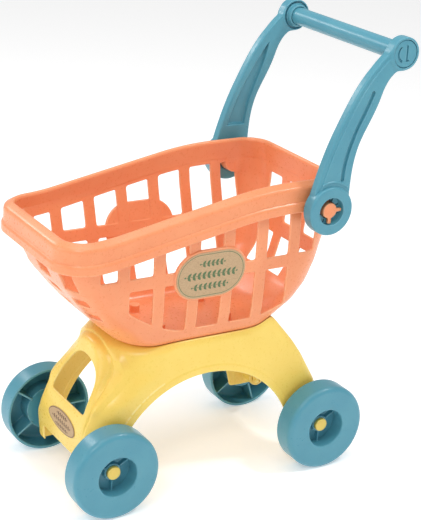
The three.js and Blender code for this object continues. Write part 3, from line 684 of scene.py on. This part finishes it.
ARM_OUTLINE = [
    (PIVOT_Y - 19, PIVOT_Z + 8),
    *bezier((PIVOT_Y - 19, PIVOT_Z + 8), (76, 300), (84, 322), (92, 338)),
    *bezier((92, 338), (102, 358), (112, 378), (126, 392)),
    *bezier((126, 392), (134, 402), (146, 410), (EYE_Y, EYE_Z + 13), 6),
    (EYE_Y + 12, EYE_Z),
    (EYE_Y, EYE_Z - 13),
    *bezier((EYE_Y, EYE_Z - 13), (145, 388), (139, 380), (135, 368)),
    *bezier((135, 368), (129, 350), (119.5, 338), (114.5, 324)),
    *bezier((114.5, 324), (110, 310), (109, 300), (PIVOT_Y + 20, PIVOT_Z + 8)),
    (PIVOT_Y, PIVOT_Z - 16),
]
GROOVE_LINE = [(99.4, 294.5), *bezier((99.4, 294.5), (99.2, 312), (106.5, 333), (115.6, 350), 7),
               *bezier((115.6, 350), (119.5, 358), (122.5, 364), (125.2, 371), 5)]
POCKET_OUTLINE = [(84, 300), *bezier((84, 300), (90, 322), (104, 350), (126, 379)),
                  *bezier((126, 379), (124, 360), (112, 340), (106, 318)), (103, 300)]
ARM_MIDDLE = smooth_line([(260, 88), (275, 89), (300, 93.5), (324, 101), (338, 107), (368, 123),
                          (380, 130), (392, 137), (410, 150)], 5)
BORDER_WIDTH = 4.2
BORDER_STEP = 1.0
GROOVE_HALF = 1.9
GROOVE_DEPTH = 2.4
POCKET_DEPTH = 4
ARC_RIDGE_RADIUS = 26.4
ARC_RIDGE_ANGLE = 0.55  # to each side of its middle, in radians
HOLE_FLOOR_X = 88.3
BACK_RECESS_RADIUS = 12.4
BACK_RECESS_X = 84.2
SNAP_FINGERS = 8
FINGER_REACH = 11.4
NOTCH_HALF = 2.2
NOTCH_REACH = 12.3
EYE_RISE = 0.8
RING_RADIUS = 12.6  # the ring sunk in the eye's inner face, round the collar
RING_DEPTH = 2.4
COLLAR_RADIUS = 11.2
COLLAR_TAPER = 0.16
CAP_THICKNESS = 1.8
CAP_GAP = 0.45
BAR_SEAT_X = 86
STEM_RADIUS = 5.8
STEM_HOLE_RADIUS = 6.4
CRESCENT_RADIUS = 7.4
CRESCENT_ANGLE = 1.05  # to each side of its middle, in radians
CAP_SINK = 1.5


def arm_plate(x, y, z):
    """The arm's blade: a border stepped down along its front edge, a groove and a back pocket."""
    outline = polygon(y, z, ARM_OUTLINE)
    ahead = smooth_step(ARM_MIDDLE(z) - y, 0, 6)
    border = ahead * (1 - smooth_step(-outline, BORDER_WIDTH - 0.5, BORDER_WIDTH + 0.5))
    face = x - ARM_OUTER_X + BORDER_STEP * border
    blade = smooth_max(outline, np.maximum(face, ARM_INNER_X - x), 2.2)
    groove = np.maximum(chain(y, z, GROOVE_LINE) - GROOVE_HALF, ARM_OUTER_X - GROOVE_DEPTH - x)
    blade = carve(blade, groove, 0.9)
    pocket = smooth_max(polygon(y, z, POCKET_OUTLINE), x - ARM_INNER_X - POCKET_DEPTH, 2.5)
    return carve(blade, pocket, 1.4)


def arm_disc(x, y, z):
    """The pivot disc, before its hole, and the small arc-shaped ridge above it."""
    v, w = y - PIVOT_Y, z - PIVOT_Z
    around = length(v, w)
    middle = (ARM_INNER_X + DISC_FACE_X) / 2
    disc = smooth_max(around - DISC_RADIUS, np.abs(x - middle) - (DISC_FACE_X - middle), 2.4)
    off_axis = np.abs(np.arctan2(v - 0.2 * w, w)).astype(np.asarray(v).dtype)
    ridge = np.maximum(np.abs(around - ARC_RIDGE_RADIUS) - 0.9, (off_axis - ARC_RIDGE_ANGLE) * 20)
    ridge = smooth_max(ridge, x - ARM_OUTER_X - 0.7, 0.8)
    return disc, np.maximum(ridge, ARM_OUTER_X - 2 - x)


def pivot_hole(x, y, z):
    """What is cut from the disc: the round hole, the bore and the slots between snap fingers."""
    v, w = y - PIVOT_Y, z - PIVOT_Z
    around = length(v, w)
    hole = smooth_max(around - DISC_HOLE_RADIUS, HOLE_FLOOR_X - x, 0.8)
    bore = around - PEG_RADIUS - 0.55
    recess = np.maximum(around - BACK_RECESS_RADIUS, x - BACK_RECESS_X)
    slots = np.maximum(spokes(v, w, SNAP_FINGERS, 180 / SNAP_FINGERS, 0.7), around - FINGER_REACH)
    notch_up = np.maximum(np.abs(v) - NOTCH_HALF, np.maximum(-w, w - NOTCH_REACH))
    notch_front = np.maximum(np.abs(w) - NOTCH_HALF, np.maximum(v, -v - NOTCH_REACH))
    return np.minimum(np.minimum(np.minimum(hole, bore), np.minimum(recess, slots)),
                      np.minimum(notch_up, notch_front))


def arm_field(x, y, z):
    """The left arm: blade, pivot disc and eye, with seats for the bar and its cap."""
    disc, ridge = arm_disc(x, y, z)
    v, w = y - EYE_Y, z - EYE_Z
    around = length(v, w)
    eye_face = ARM_OUTER_X + EYE_RISE
    eye = smooth_max(around - EYE_RADIUS, np.maximum(x - eye_face, ARM_INNER_X - x), 1.6)
    body = smooth_min(arm_plate(x, y, z), eye, 3)
    body = smooth_min(np.minimum(body, disc), ridge, 0.5)
    ring = np.maximum(np.abs(around - RING_RADIUS) - 0.9, x - ARM_INNER_X - RING_DEPTH)
    body = carve(body, ring, 0.6)
    taper = COLLAR_RADIUS - COLLAR_TAPER * (ARM_INNER_X - x)
    collar = smooth_max(around - taper, np.maximum(ARM_LOW[0] - x, x - ARM_INNER_X - 3), 1)
    body = np.minimum(body, collar)
    cap_seat = smooth_max(around - CAP_RADIUS - CAP_GAP, ARM_OUTER_X - CAP_THICKNESS - x, 0.5)
    bar_seat = np.maximum(around - BAR_RADIUS - FIT_GAP, x - BAR_SEAT_X)
    body = carve(body, np.minimum(np.minimum(cap_seat, bar_seat), around - STEM_HOLE_RADIUS), 0.6)
    return carve(body, pivot_hole(x, y, z), 0.6)


def bar_field(x, y, z):
    around = length(y - EYE_Y, z - EYE_Z)
    return smooth_max(np.maximum(around - BAR_RADIUS, BAR_BORE - around), x - BAR_HIGH[0], 0.5)


def cap_field(x, y, z):
    """A round cap with a stem, and a crescent and a footed slot sunk in its face."""
    v, w = y - EYE_Y, z - EYE_Z
    around = length(v, w)
    face = CAP_HIGH[0]
    disc = smooth_max(around - CAP_RADIUS, np.maximum(x - face, face - CAP_THICKNESS - x), 0.8)
    stem = smooth_max(around - STEM_RADIUS, np.maximum(x - face + 1, CAP_LOW[0] - x), 0.8)
    angle = np.arctan2(w, -v).astype(np.asarray(v).dtype)
    thickness = 1.15 - 0.6 * np.clip(angle, 0, 1)
    crescent = np.maximum(np.abs(length(v + 0.2, w) - CRESCENT_RADIUS) - thickness,
                          (np.abs(angle + 0.1) - CRESCENT_ANGLE) * 6)
    slot = rounded_box(v - 1.8, w - 0.4, 0.95, 7, 0.5)
    foot = rounded_box(v - 2.6, w + 6.4, 1.8, 0.8, 0.5)
    sunk = np.maximum(np.minimum(crescent, np.minimum(slot, foot)), face - CAP_SINK - x)
    return carve(smooth_min(disc, stem, 0.5), sunk, 0.3)


# ---------------- screws

HEAD_RADIUS = 3.8
HEAD_HEIGHT = 2.3
SHANK_RADIUS = 1.45
THREAD_DEPTH = 0.25
CROSS_HALF_LENGTH = 2
CROSS_HALF_WIDTH = 0.5


def screw_field(x, y, z):
    """A pan-head screw with a cross recess, head down; x and y from its axis."""
    around = length(x, y)
    low, high = SCREW_LOW[2], SCREW_HIGH[2]
    head = smooth_max(around - HEAD_RADIUS, np.maximum(low - z, z - low - HEAD_HEIGHT), 1.4)
    thread = THREAD_DEPTH * np.cos(2 * math.pi * (z - np.arctan2(y, x) / (2 * math.pi)))
    shank = smooth_max(around - SHANK_RADIUS - thread, np.maximum(low + 0.4 - z, z - high), 1)
    cross = np.minimum(rounded_box(x, y, CROSS_HALF_LENGTH, CROSS_HALF_WIDTH, 0.2),
                       rounded_box(x, y, CROSS_HALF_WIDTH, CROSS_HALF_LENGTH, 0.2))
    return carve(np.minimum(head, shank), np.maximum(cross, z - low - 1), 0.2)


# ---------------- materials


class Nodes:
    """A short way to add and join shader nodes."""

    def __init__(self, name):
        self.material = bpy.data.materials.new(name)
        self.material.use_nodes = True
        self.tree = self.material.node_tree
        self.shader = self.tree.nodes["Principled BSDF"]

    def add(self, kind, **inputs):
        node = self.tree.nodes.new(kind)
        for key, value in inputs.items():
            if hasattr(node, key):
                setattr(node, key, value)
            else:
                node.inputs[key].default_value = value
        return node

    def join(self, source, target):
        self.tree.links.new(source, target)

    def put(self, name, value):
        """Gives one of the main shader's inputs a value, or the output of another node."""
        if isinstance(value, bpy.types.NodeSocket):
            self.join(value, self.shader.inputs[name])
        else:
            self.shader.inputs[name].default_value = value

    def noise(self, scale, detail, roughness, stretch=(1, 1, 1)):
        """Noise in the piece's own metres, as a value about one half."""
        place = self.add("ShaderNodeTexCoord").outputs["Object"]
        mapping = self.add("ShaderNodeMapping", Scale=stretch)
        self.join(place, mapping.inputs["Vector"])
        noise = self.add("ShaderNodeTexNoise", Scale=scale, Detail=detail, Roughness=roughness)
        self.join(mapping.outputs["Vector"], noise.inputs["Vector"])
        return noise.outputs["Fac"]

    def bump(self, height, strength, distance):
        bump = self.add("ShaderNodeBump", Strength=strength, Distance=distance)
        self.join(height, bump.inputs["Height"])
        self.put("Normal", bump.outputs["Normal"])


def rgb(red, green, blue):
    """A display colour from 0 to 255, as the linear colour that shaders use."""
    channels = []
    for value in (red, green, blue):
        share = value / 255
        channels.append(share / 12.92 if share <= 0.04045 else ((share + 0.055) / 1.055) ** 2.4)
    return (*channels, 1)


def mix_colours(nodes, factor, first, second):
    node = nodes.add("ShaderNodeMix", data_type="RGBA")
    for key, value in ((6, first), (7, second)):
        if isinstance(value, tuple):
            node.inputs[key].default_value = value
        else:
            nodes.join(value, node.inputs[key])
    nodes.join(factor, node.inputs[0])
    return node.outputs[2]


def ranged(nodes, source, low, high, to_low, to_high):
    node = nodes.add("ShaderNodeMapRange")
    for key, value in zip(("From Min", "From Max", "To Min", "To Max"), (low, high, to_low, to_high)):
        node.inputs[key].default_value = value
    nodes.join(source, node.inputs["Value"])
    return node.outputs["Result"]


def moulded_plastic(name, colour, shade, light, roughness):
    """Semi-gloss polypropylene: cloudy colour, paler convex edges that are partly wear and partly a painted
    highlight along ridges, and a very fine orange peel.
    """
    nodes = Nodes(name)
    cloudy = ranged(nodes, nodes.noise(28, 4, 0.55), 0.35, 0.65, 0, 1)
    body = mix_colours(nodes, cloudy, colour, shade)
    # Convex edges are mixed towards the light colour: partly wear, and partly a painted highlight that
    # stands in for the glint along ridges.
    pointiness = nodes.add("ShaderNodeNewGeometry").outputs["Pointiness"]
    edge_wear_and_highlight = ranged(nodes, pointiness, 0.518, 0.57, 0, 0.5)
    nodes.put("Base Color", mix_colours(nodes, edge_wear_and_highlight, body, light))
    grain = nodes.noise(420, 3, 0.6)
    nodes.put("Roughness", ranged(nodes, grain, 0.3, 0.7, roughness - 0.05, roughness + 0.06))
    nodes.bump(grain, 0.02, 0.0001)
    nodes.put("IOR", 1.5)
    nodes.put("Subsurface Weight", 0.12)
    nodes.put("Subsurface Radius", (0.006, 0.004, 0.003))
    nodes.put("Subsurface Scale", 0.5)
    return nodes.material


def kraft_paper(name, colour, fibre):
    """Brown sticker paper with short darker fibres and a matt, faintly rough face."""
    nodes = Nodes(name)
    fibres = nodes.noise(1400, 5, 0.7, (1, 0.35, 1.6))
    nodes.put("Base Color", mix_colours(nodes, ranged(nodes, fibres, 0.42, 0.68, 0, 0.8), colour, fibre))
    nodes.bump(fibres, 0.12, 0.0002)
    nodes.put("Roughness", 0.6)
    return nodes.material


def printed_ink(name, colour, worn):
    """Ink that thins out in small patches over the paper's fibres."""
    nodes = Nodes(name)
    thin = ranged(nodes, nodes.noise(900, 4, 0.65), 0.5, 0.75, 0, 0.6)
    nodes.put("Base Color", mix_colours(nodes, thin, colour, worn))
    nodes.put("Roughness", 0.55)
    return nodes.material


def plated_steel(name):
    """Bright zinc plate with a faint cloudy bloom."""
    nodes = Nodes(name)
    bloom = nodes.noise(600, 3, 0.5)
    nodes.put("Base Color", mix_colours(nodes, bloom, rgb(196, 200, 204), rgb(164, 168, 172)))
    nodes.put("Roughness", ranged(nodes, bloom, 0.3, 0.7, 0.25, 0.45))
    nodes.put("Metallic", 1)
    return nodes.material


# The third colour of each plastic is its paler edge colour: partly wear, partly a painted highlight on
# ridges.
ORANGE = moulded_plastic("basket_plastic", rgb(240, 153, 105), rgb(237, 146, 98), rgb(254, 204, 160), 0.3)
YELLOW = moulded_plastic("chassis_plastic", rgb(243, 212, 104), rgb(240, 207, 96), rgb(254, 236, 168), 0.3)
BLUE = moulded_plastic("blue_plastic", rgb(84, 152, 170), rgb(77, 146, 166), rgb(136, 186, 200), 0.32)
KRAFT = kraft_paper("sticker_paper", rgb(196, 166, 128), rgb(166, 134, 98))
GREEN_INK = printed_ink("green_ink", rgb(84, 112, 72), rgb(140, 136, 96))
BROWN_INK = printed_ink("brown_ink", rgb(106, 78, 52), rgb(140, 112, 82))
STEEL = plated_steel("screw_steel")

# ---------------- stickers

STICKER_THICKNESS = 0.35
STICKER_BEVEL = 0.08
INK_RISE = 0.02
STICKER_RINGS = 8  # rings of faces between a sticker's border and its middle
# How much shorter and narrower than its sticker each of the border's two lines is.
SIDE_BORDER = ((3.4, 3.4), (4.6, 4.6))
FRONT_BORDER = ((0.8, 0.8), (2.4, 2.2))
# Leaf rows: the height above the sticker's middle, half length, leaf spacing and leaf length.
SIDE_ROWS = ((11.5, 11, 4.4, 4.4), (0, 25, 5, 5.2), (-11.5, 17, 4.6, 4.6))
FRONT_ROWS = ((5.6, 9, 3.4, 2.6), (0, 17, 3.8, 2.9), (-5.6, 11, 3.4, 2.6))
LEAF_ANGLE = 52
STEM_WIDTH = 0.5
BERRY_WIDTH = 1.8


def oval_points(long_side, short_side, count=48, centre=(0, 0)):
    angles = 2 * math.pi * np.arange(count) / count
    return [(centre[0] + long_side / 2 * math.cos(a), centre[1] + short_side / 2 * math.sin(a))
            for a in angles]


def leaf_points(root, size, width, turn):
    """A pointed leaf that grows from root at an angle in degrees."""
    along = np.linspace(0, 1, 9)
    side = width / 2 * np.sin(math.pi * along**0.8)
    outline = [*zip(along * size, side), *reversed([*zip(along * size, -side)][1:-1])]
    cos, sin = math.cos(math.radians(turn)), math.sin(math.radians(turn))
    return [(root[0] + u * cos - v * sin, root[1] + u * sin + v * cos) for u, v in outline]


def stadium_points(long_side, short_side, count=48):
    straight = (long_side - short_side) / 2
    points = []
    for i in range(count):
        angle = 2 * math.pi * (i + 0.5) / count
        shift = straight if math.cos(angle) > 0 else -straight
        points.append((shift + short_side / 2 * math.cos(angle), short_side / 2 * math.sin(angle)))
    return points


def leaf_row(middle, half_length, spacing, leaf):
    """A stem with leaves in pairs on both sides, and a berry at each end."""
    low, high = middle - STEM_WIDTH / 2, middle + STEM_WIDTH / 2
    shapes = [[(-half_length, low), (half_length, low), (half_length, high), (-half_length, high)]]
    count = max(2, int(2 * half_length / spacing))
    for i in range(count):
        root = (-half_length + (i + 0.3) * 2 * half_length / count, middle)
        shapes.append(leaf_points(root, leaf, spacing * 0.55, LEAF_ANGLE))
        shapes.append(leaf_points(root, leaf, spacing * 0.55, -LEAF_ANGLE))
    for end in (-half_length - 1.2, half_length + 1.2):
        shapes.append(oval_points(BERRY_WIDTH, BERRY_WIDTH, 12, (end, middle)))
    return shapes


def sticker_mesh(name, outline, border, rows, place, ink):
    """A thin plate with a printed border line and leaf rows; place maps (u, v, out) to a point."""
    points, faces, inks = [], [], []

    def face(corners, ink_face):
        first = len(points)
        points.extend(place(*corner) for corner in corners)
        faces.append(range(first, first + len(corners)))
        inks.append(ink_face)

    def ring(low, high, ink_face):
        count = len(low)
        for i in range(count):
            j = (i + 1) % count
            face([low[i], low[j], high[j], high[i]], ink_face)

    def level(line, height, scale=1):
        return [(u * scale, v * scale, height) for u, v in line]

    base = level(outline, 0)
    brim = level(outline, STICKER_THICKNESS - STICKER_BEVEL)
    top = level(outline, STICKER_THICKNESS, 0.997)
    outer, inner = (level(line, STICKER_THICKNESS) for line in border)
    ring(base, brim, 0)
    ring(brim, top, 0)
    ring(top, outer, 0)
    ring(outer, inner, 1)
    scales = np.linspace(1, 0, STICKER_RINGS + 1)[:-1]
    for start, end in zip(scales, scales[1:]):
        ring(level(border[1], STICKER_THICKNESS, start), level(border[1], STICKER_THICKNESS, end), 0)
    face(level(border[1], STICKER_THICKNESS, scales[-1]), 0)
    face(base[::-1], 0)
    for row in rows:
        for shape in leaf_row(*row):
            face(level(shape, STICKER_THICKNESS + INK_RISE), 1)
    mesh = bpy.data.meshes.new(name)
    mesh.from_pydata([tuple(point * MM) for point in np.array(points) + [0, MID_Y, 0]], [], faces)
    mesh.materials.append(KRAFT)
    mesh.materials.append(ink)
    mesh.polygons.foreach_set("material_index", inks)
    mesh.update()
    return mesh


def side_sticker(side):
    """The long oval sticker, laid on the leaning pad of one side."""
    cos, sin = math.cos(BADGE_TILT), math.sin(BADGE_TILT)

    def place(u, v, out):
        depth = out + PAD_FACE - INK_RISE
        x = BADGE_CENTRE[0] + v * sin + depth * cos
        z = BADGE_CENTRE[2] + v * cos - depth * sin
        return np.array([side * x, BADGE_CENTRE[1] + side * u, z])

    outline = stadium_points(BADGE_LENGTH, BADGE_HEIGHT)
    border = [stadium_points(BADGE_LENGTH - u, BADGE_HEIGHT - v) for u, v in SIDE_BORDER]
    return sticker_mesh("side_sticker", outline, border, SIDE_ROWS, place, GREEN_INK)


def front_sticker():
    """The oval sticker, laid on the front panel's curve."""
    middle = (FRONT_BADGE_LOW + FRONT_BADGE_HIGH) / 2
    size = FRONT_BADGE_HIGH - FRONT_BADGE_LOW

    def place(u, v, out):
        z = middle[2] + v
        return np.array([u, float(FRONT_LINE(np.float64(z))) - out, z])

    outline = oval_points(size[0], size[2])
    border = [oval_points(size[0] - u, size[2] - v) for u, v in FRONT_BORDER]
    return sticker_mesh("front_sticker", outline, border, FRONT_ROWS, place, BROWN_INK)


# ---------------- assembly

SIDES = (("left", 1), ("right", -1))  # left is where x is above zero
MARGIN = 2  # room left round most pieces when they are skinned


def add_body_mouldings():
    surface = skin(basket_field, (0, BASKET_LOW[1] - 3, FLOOR_Z - 3), BASKET_HIGH + (2, 5, 5), 0.85, True)
    add_piece("basket_moulding", mesh_from("basket_moulding", *surface, ORANGE), "frame", "basket")
    surface = skin(chassis_field, (0, CHASSIS_LOW[1] - 4, LEG_TIP_Z - 3),
                   (SIDE_X + 3, CHASSIS_HIGH[1] + 3, CHASSIS_HIGH[2] + 5), 0.8, True)
    add_piece("chassis_moulding", mesh_from("chassis_moulding", *surface, YELLOW), "frame", "chassis")


def add_wheels():
    reach = WHEEL_RADIUS + MARGIN
    wheel = skin(wheel_field, (HUB_BACK_X - MARGIN, -reach, -reach),
                 (WHEEL_FACE_X + MARGIN, reach, reach), 0.75)
    wheel_mesh = mesh_from("wheel_moulding", *wheel, BLUE, offset=(0, 0, 0))
    reach = PIN_HEAD_RADIUS + 1.5
    pin = skin(pin_field, (PIN_LOW[0] - MARGIN, -reach, -reach), (PIN_HIGH[0] + MARGIN, reach, reach), 0.4)
    pin_mesh = mesh_from("axle_pin_moulding", *pin, YELLOW, offset=(0, 0, 0))
    for end, y in (("front", -AXLE_Y), ("rear", AXLE_Y)):
        axle = Matrix.Translation(Vector((0, (y + MID_Y) * MM, AXLE_Z * MM)))
        for side, sign in SIDES:
            corner = f"{end}_{side}"
            place = axle if sign == 1 else axle @ Matrix.Rotation(math.pi, 4, "Z")
            add_piece(f"{corner}_wheel_moulding", wheel_mesh, f"{corner}_wheel", f"wheel_{corner}", place)
            add_piece(f"{corner}_axle_pin_moulding", pin_mesh, "frame", f"axle_pin_{corner}", place)


def add_handle():
    arm = skin(arm_field, ARM_LOW - MARGIN, ARM_HIGH + MARGIN, 0.55)
    cap = skin(cap_field, CAP_LOW - 1.5, CAP_HIGH + 1.5, 0.35)
    bar = skin(bar_field, (0, *(BAR_LOW - MARGIN)[1:]), BAR_HIGH + MARGIN, 0.6, True)
    for side, sign in SIDES:
        for kind, surface, node in (("arm", arm, f"handle_arm_{side}"), ("cap", cap, f"bar_cap_{side}")):
            name = f"handle_{kind}_{side}_moulding"
            shape = surface if sign == 1 else mirror_x(*surface)
            add_piece(name, mesh_from(name, *shape, BLUE), "handle", node)
    add_piece("handle_bar_tube", mesh_from("handle_bar_tube", *bar, BLUE), "handle", "handle_bar")


def add_small_parts():
    for side, sign in SIDES:
        add_piece(f"basket_sticker_{side}", side_sticker(sign), "frame", f"basket_badge_{side}")
    add_piece("front_sticker", front_sticker(), "frame", "front_badge")
    screw = skin(screw_field, (-5, -5, SCREW_LOW[2] - 1), (5, 5, SCREW_HIGH[2] + 1), 0.28)
    screw_mesh = mesh_from("basket_screw_turned", *screw, STEEL, offset=(0, 0, 0))
    for end, y in (("front", SCREW_FRONT_Y), ("rear", SCREW_REAR_Y)):
        for side, sign in SIDES:
            place = Matrix.Translation(Vector((sign * SCREW_X, y + MID_Y, 0)) * MM)
            node = f"basket_screw_{end}_{side}"
            add_piece(f"{node}_turned", screw_mesh, "frame", node, place)


# ---------------- studio

# This section is in metres.
FLOOR_HALF = 6
# Each lamp's name, place from the trolley's middle, size and power in watts.
LAMPS = (
    ("overhead", (0.1, -0.2, 1.5), 1.2, 8),
    ("key", (0.9, -0.9, 1.1), 0.4, 5),
    ("front", (-0.3, -1.6, 0.5), 0.8, 4),
    ("ridge_side", (0.55, 0.72, 1.2), 0.22, 6),
    ("ridge_front", (-1.2, -0.55, 0.78), 0.25, 3),
)
CAMERA_TURN = 58.553  # degrees from straight ahead, towards the trolley's left
CAMERA_ELEVATION = 20.830
CAMERA_ROLL = 3.141
CAMERA_DISTANCE = 1.3569
CAMERA_TARGET = (0, 0.01958, -0.01199)  # from the trolley's middle
CAMERA_LENS = 100.65  # millimetres, on a sensor 36 wide


def add_floor():
    """A wide sheet of pale paper that glows a little, so that it renders near white."""
    mesh = bpy.data.meshes.new("floor")
    corners = [(FLOOR_HALF * u, FLOOR_HALF * v, 0) for u, v in ((-1, -1), (1, -1), (1, 1), (-1, 1))]
    mesh.from_pydata(corners, [], [(0, 1, 2, 3)])
    nodes = Nodes("floor_paper")
    mist = nodes.add("ShaderNodeTexNoise", Scale=3.0, Detail=2.0)
    tone = mix_colours(nodes, mist.outputs["Fac"], rgb(244, 244, 244), rgb(248, 248, 248))
    nodes.put("Base Color", tone)
    nodes.put("Roughness", 0.9)
    nodes.put("Emission Color", (1, 1, 1, 1))
    nodes.put("Emission Strength", 0.32)
    nodes.material.cycles.emission_sampling = "NONE"
    mesh.materials.append(nodes.material)
    floor = bpy.data.objects.new("floor", mesh)
    bpy.context.scene.collection.objects.link(floor)


def add_light(name, place, target, size, power):
    data = bpy.data.lights.new(name, "AREA")
    data.shape = "DISK"
    data.size = size
    data.energy = power
    light = bpy.data.objects.new(name, data)
    light.location = place
    light.rotation_euler = (Vector(target) - Vector(place)).to_track_quat("-Z", "Y").to_euler()
    bpy.context.scene.collection.objects.link(light)


def add_studio(centre):
    world = bpy.data.worlds.new("studio")
    world.use_nodes = True
    world.node_tree.nodes["Background"].inputs["Color"].default_value = (1, 1, 1, 1)
    world.node_tree.nodes["Background"].inputs["Strength"].default_value = 0.56
    bpy.context.scene.world = world
    for name, offset, size, power in LAMPS:
        add_light(name, centre + Vector(offset), centre, size, power)
    bpy.context.scene.view_settings.view_transform = "Standard"


def add_camera(centre):
    """The camera looks from the front left and slightly down, tilted a little."""
    azimuth, elevation, roll = map(math.radians, (CAMERA_TURN, CAMERA_ELEVATION, CAMERA_ROLL))
    target = centre + Vector(CAMERA_TARGET)
    back = Vector((math.sin(azimuth) * math.cos(elevation), -math.cos(azimuth) * math.cos(elevation),
                   math.sin(elevation)))
    level = Vector((math.cos(azimuth), math.sin(azimuth), 0))
    upright = back.cross(level)
    right = level * math.cos(roll) + upright * math.sin(roll)
    up = upright * math.cos(roll) - level * math.sin(roll)
    data = bpy.data.cameras.new("camera")
    data.sensor_width = 36
    data.lens = CAMERA_LENS
    camera = bpy.data.objects.new("camera", data)
    turn = Matrix((right, up, back)).transposed().to_4x4()
    camera.matrix_world = Matrix.Translation(target + back * CAMERA_DISTANCE) @ turn
    bpy.context.scene.collection.objects.link(camera)
    bpy.context.scene.camera = camera


add_body_mouldings()
add_wheels()
add_handle()
add_small_parts()
middle = (cad_bounds[0] + cad_bounds[1]) / 2
add_floor()
add_studio(middle)
add_camera(middle)
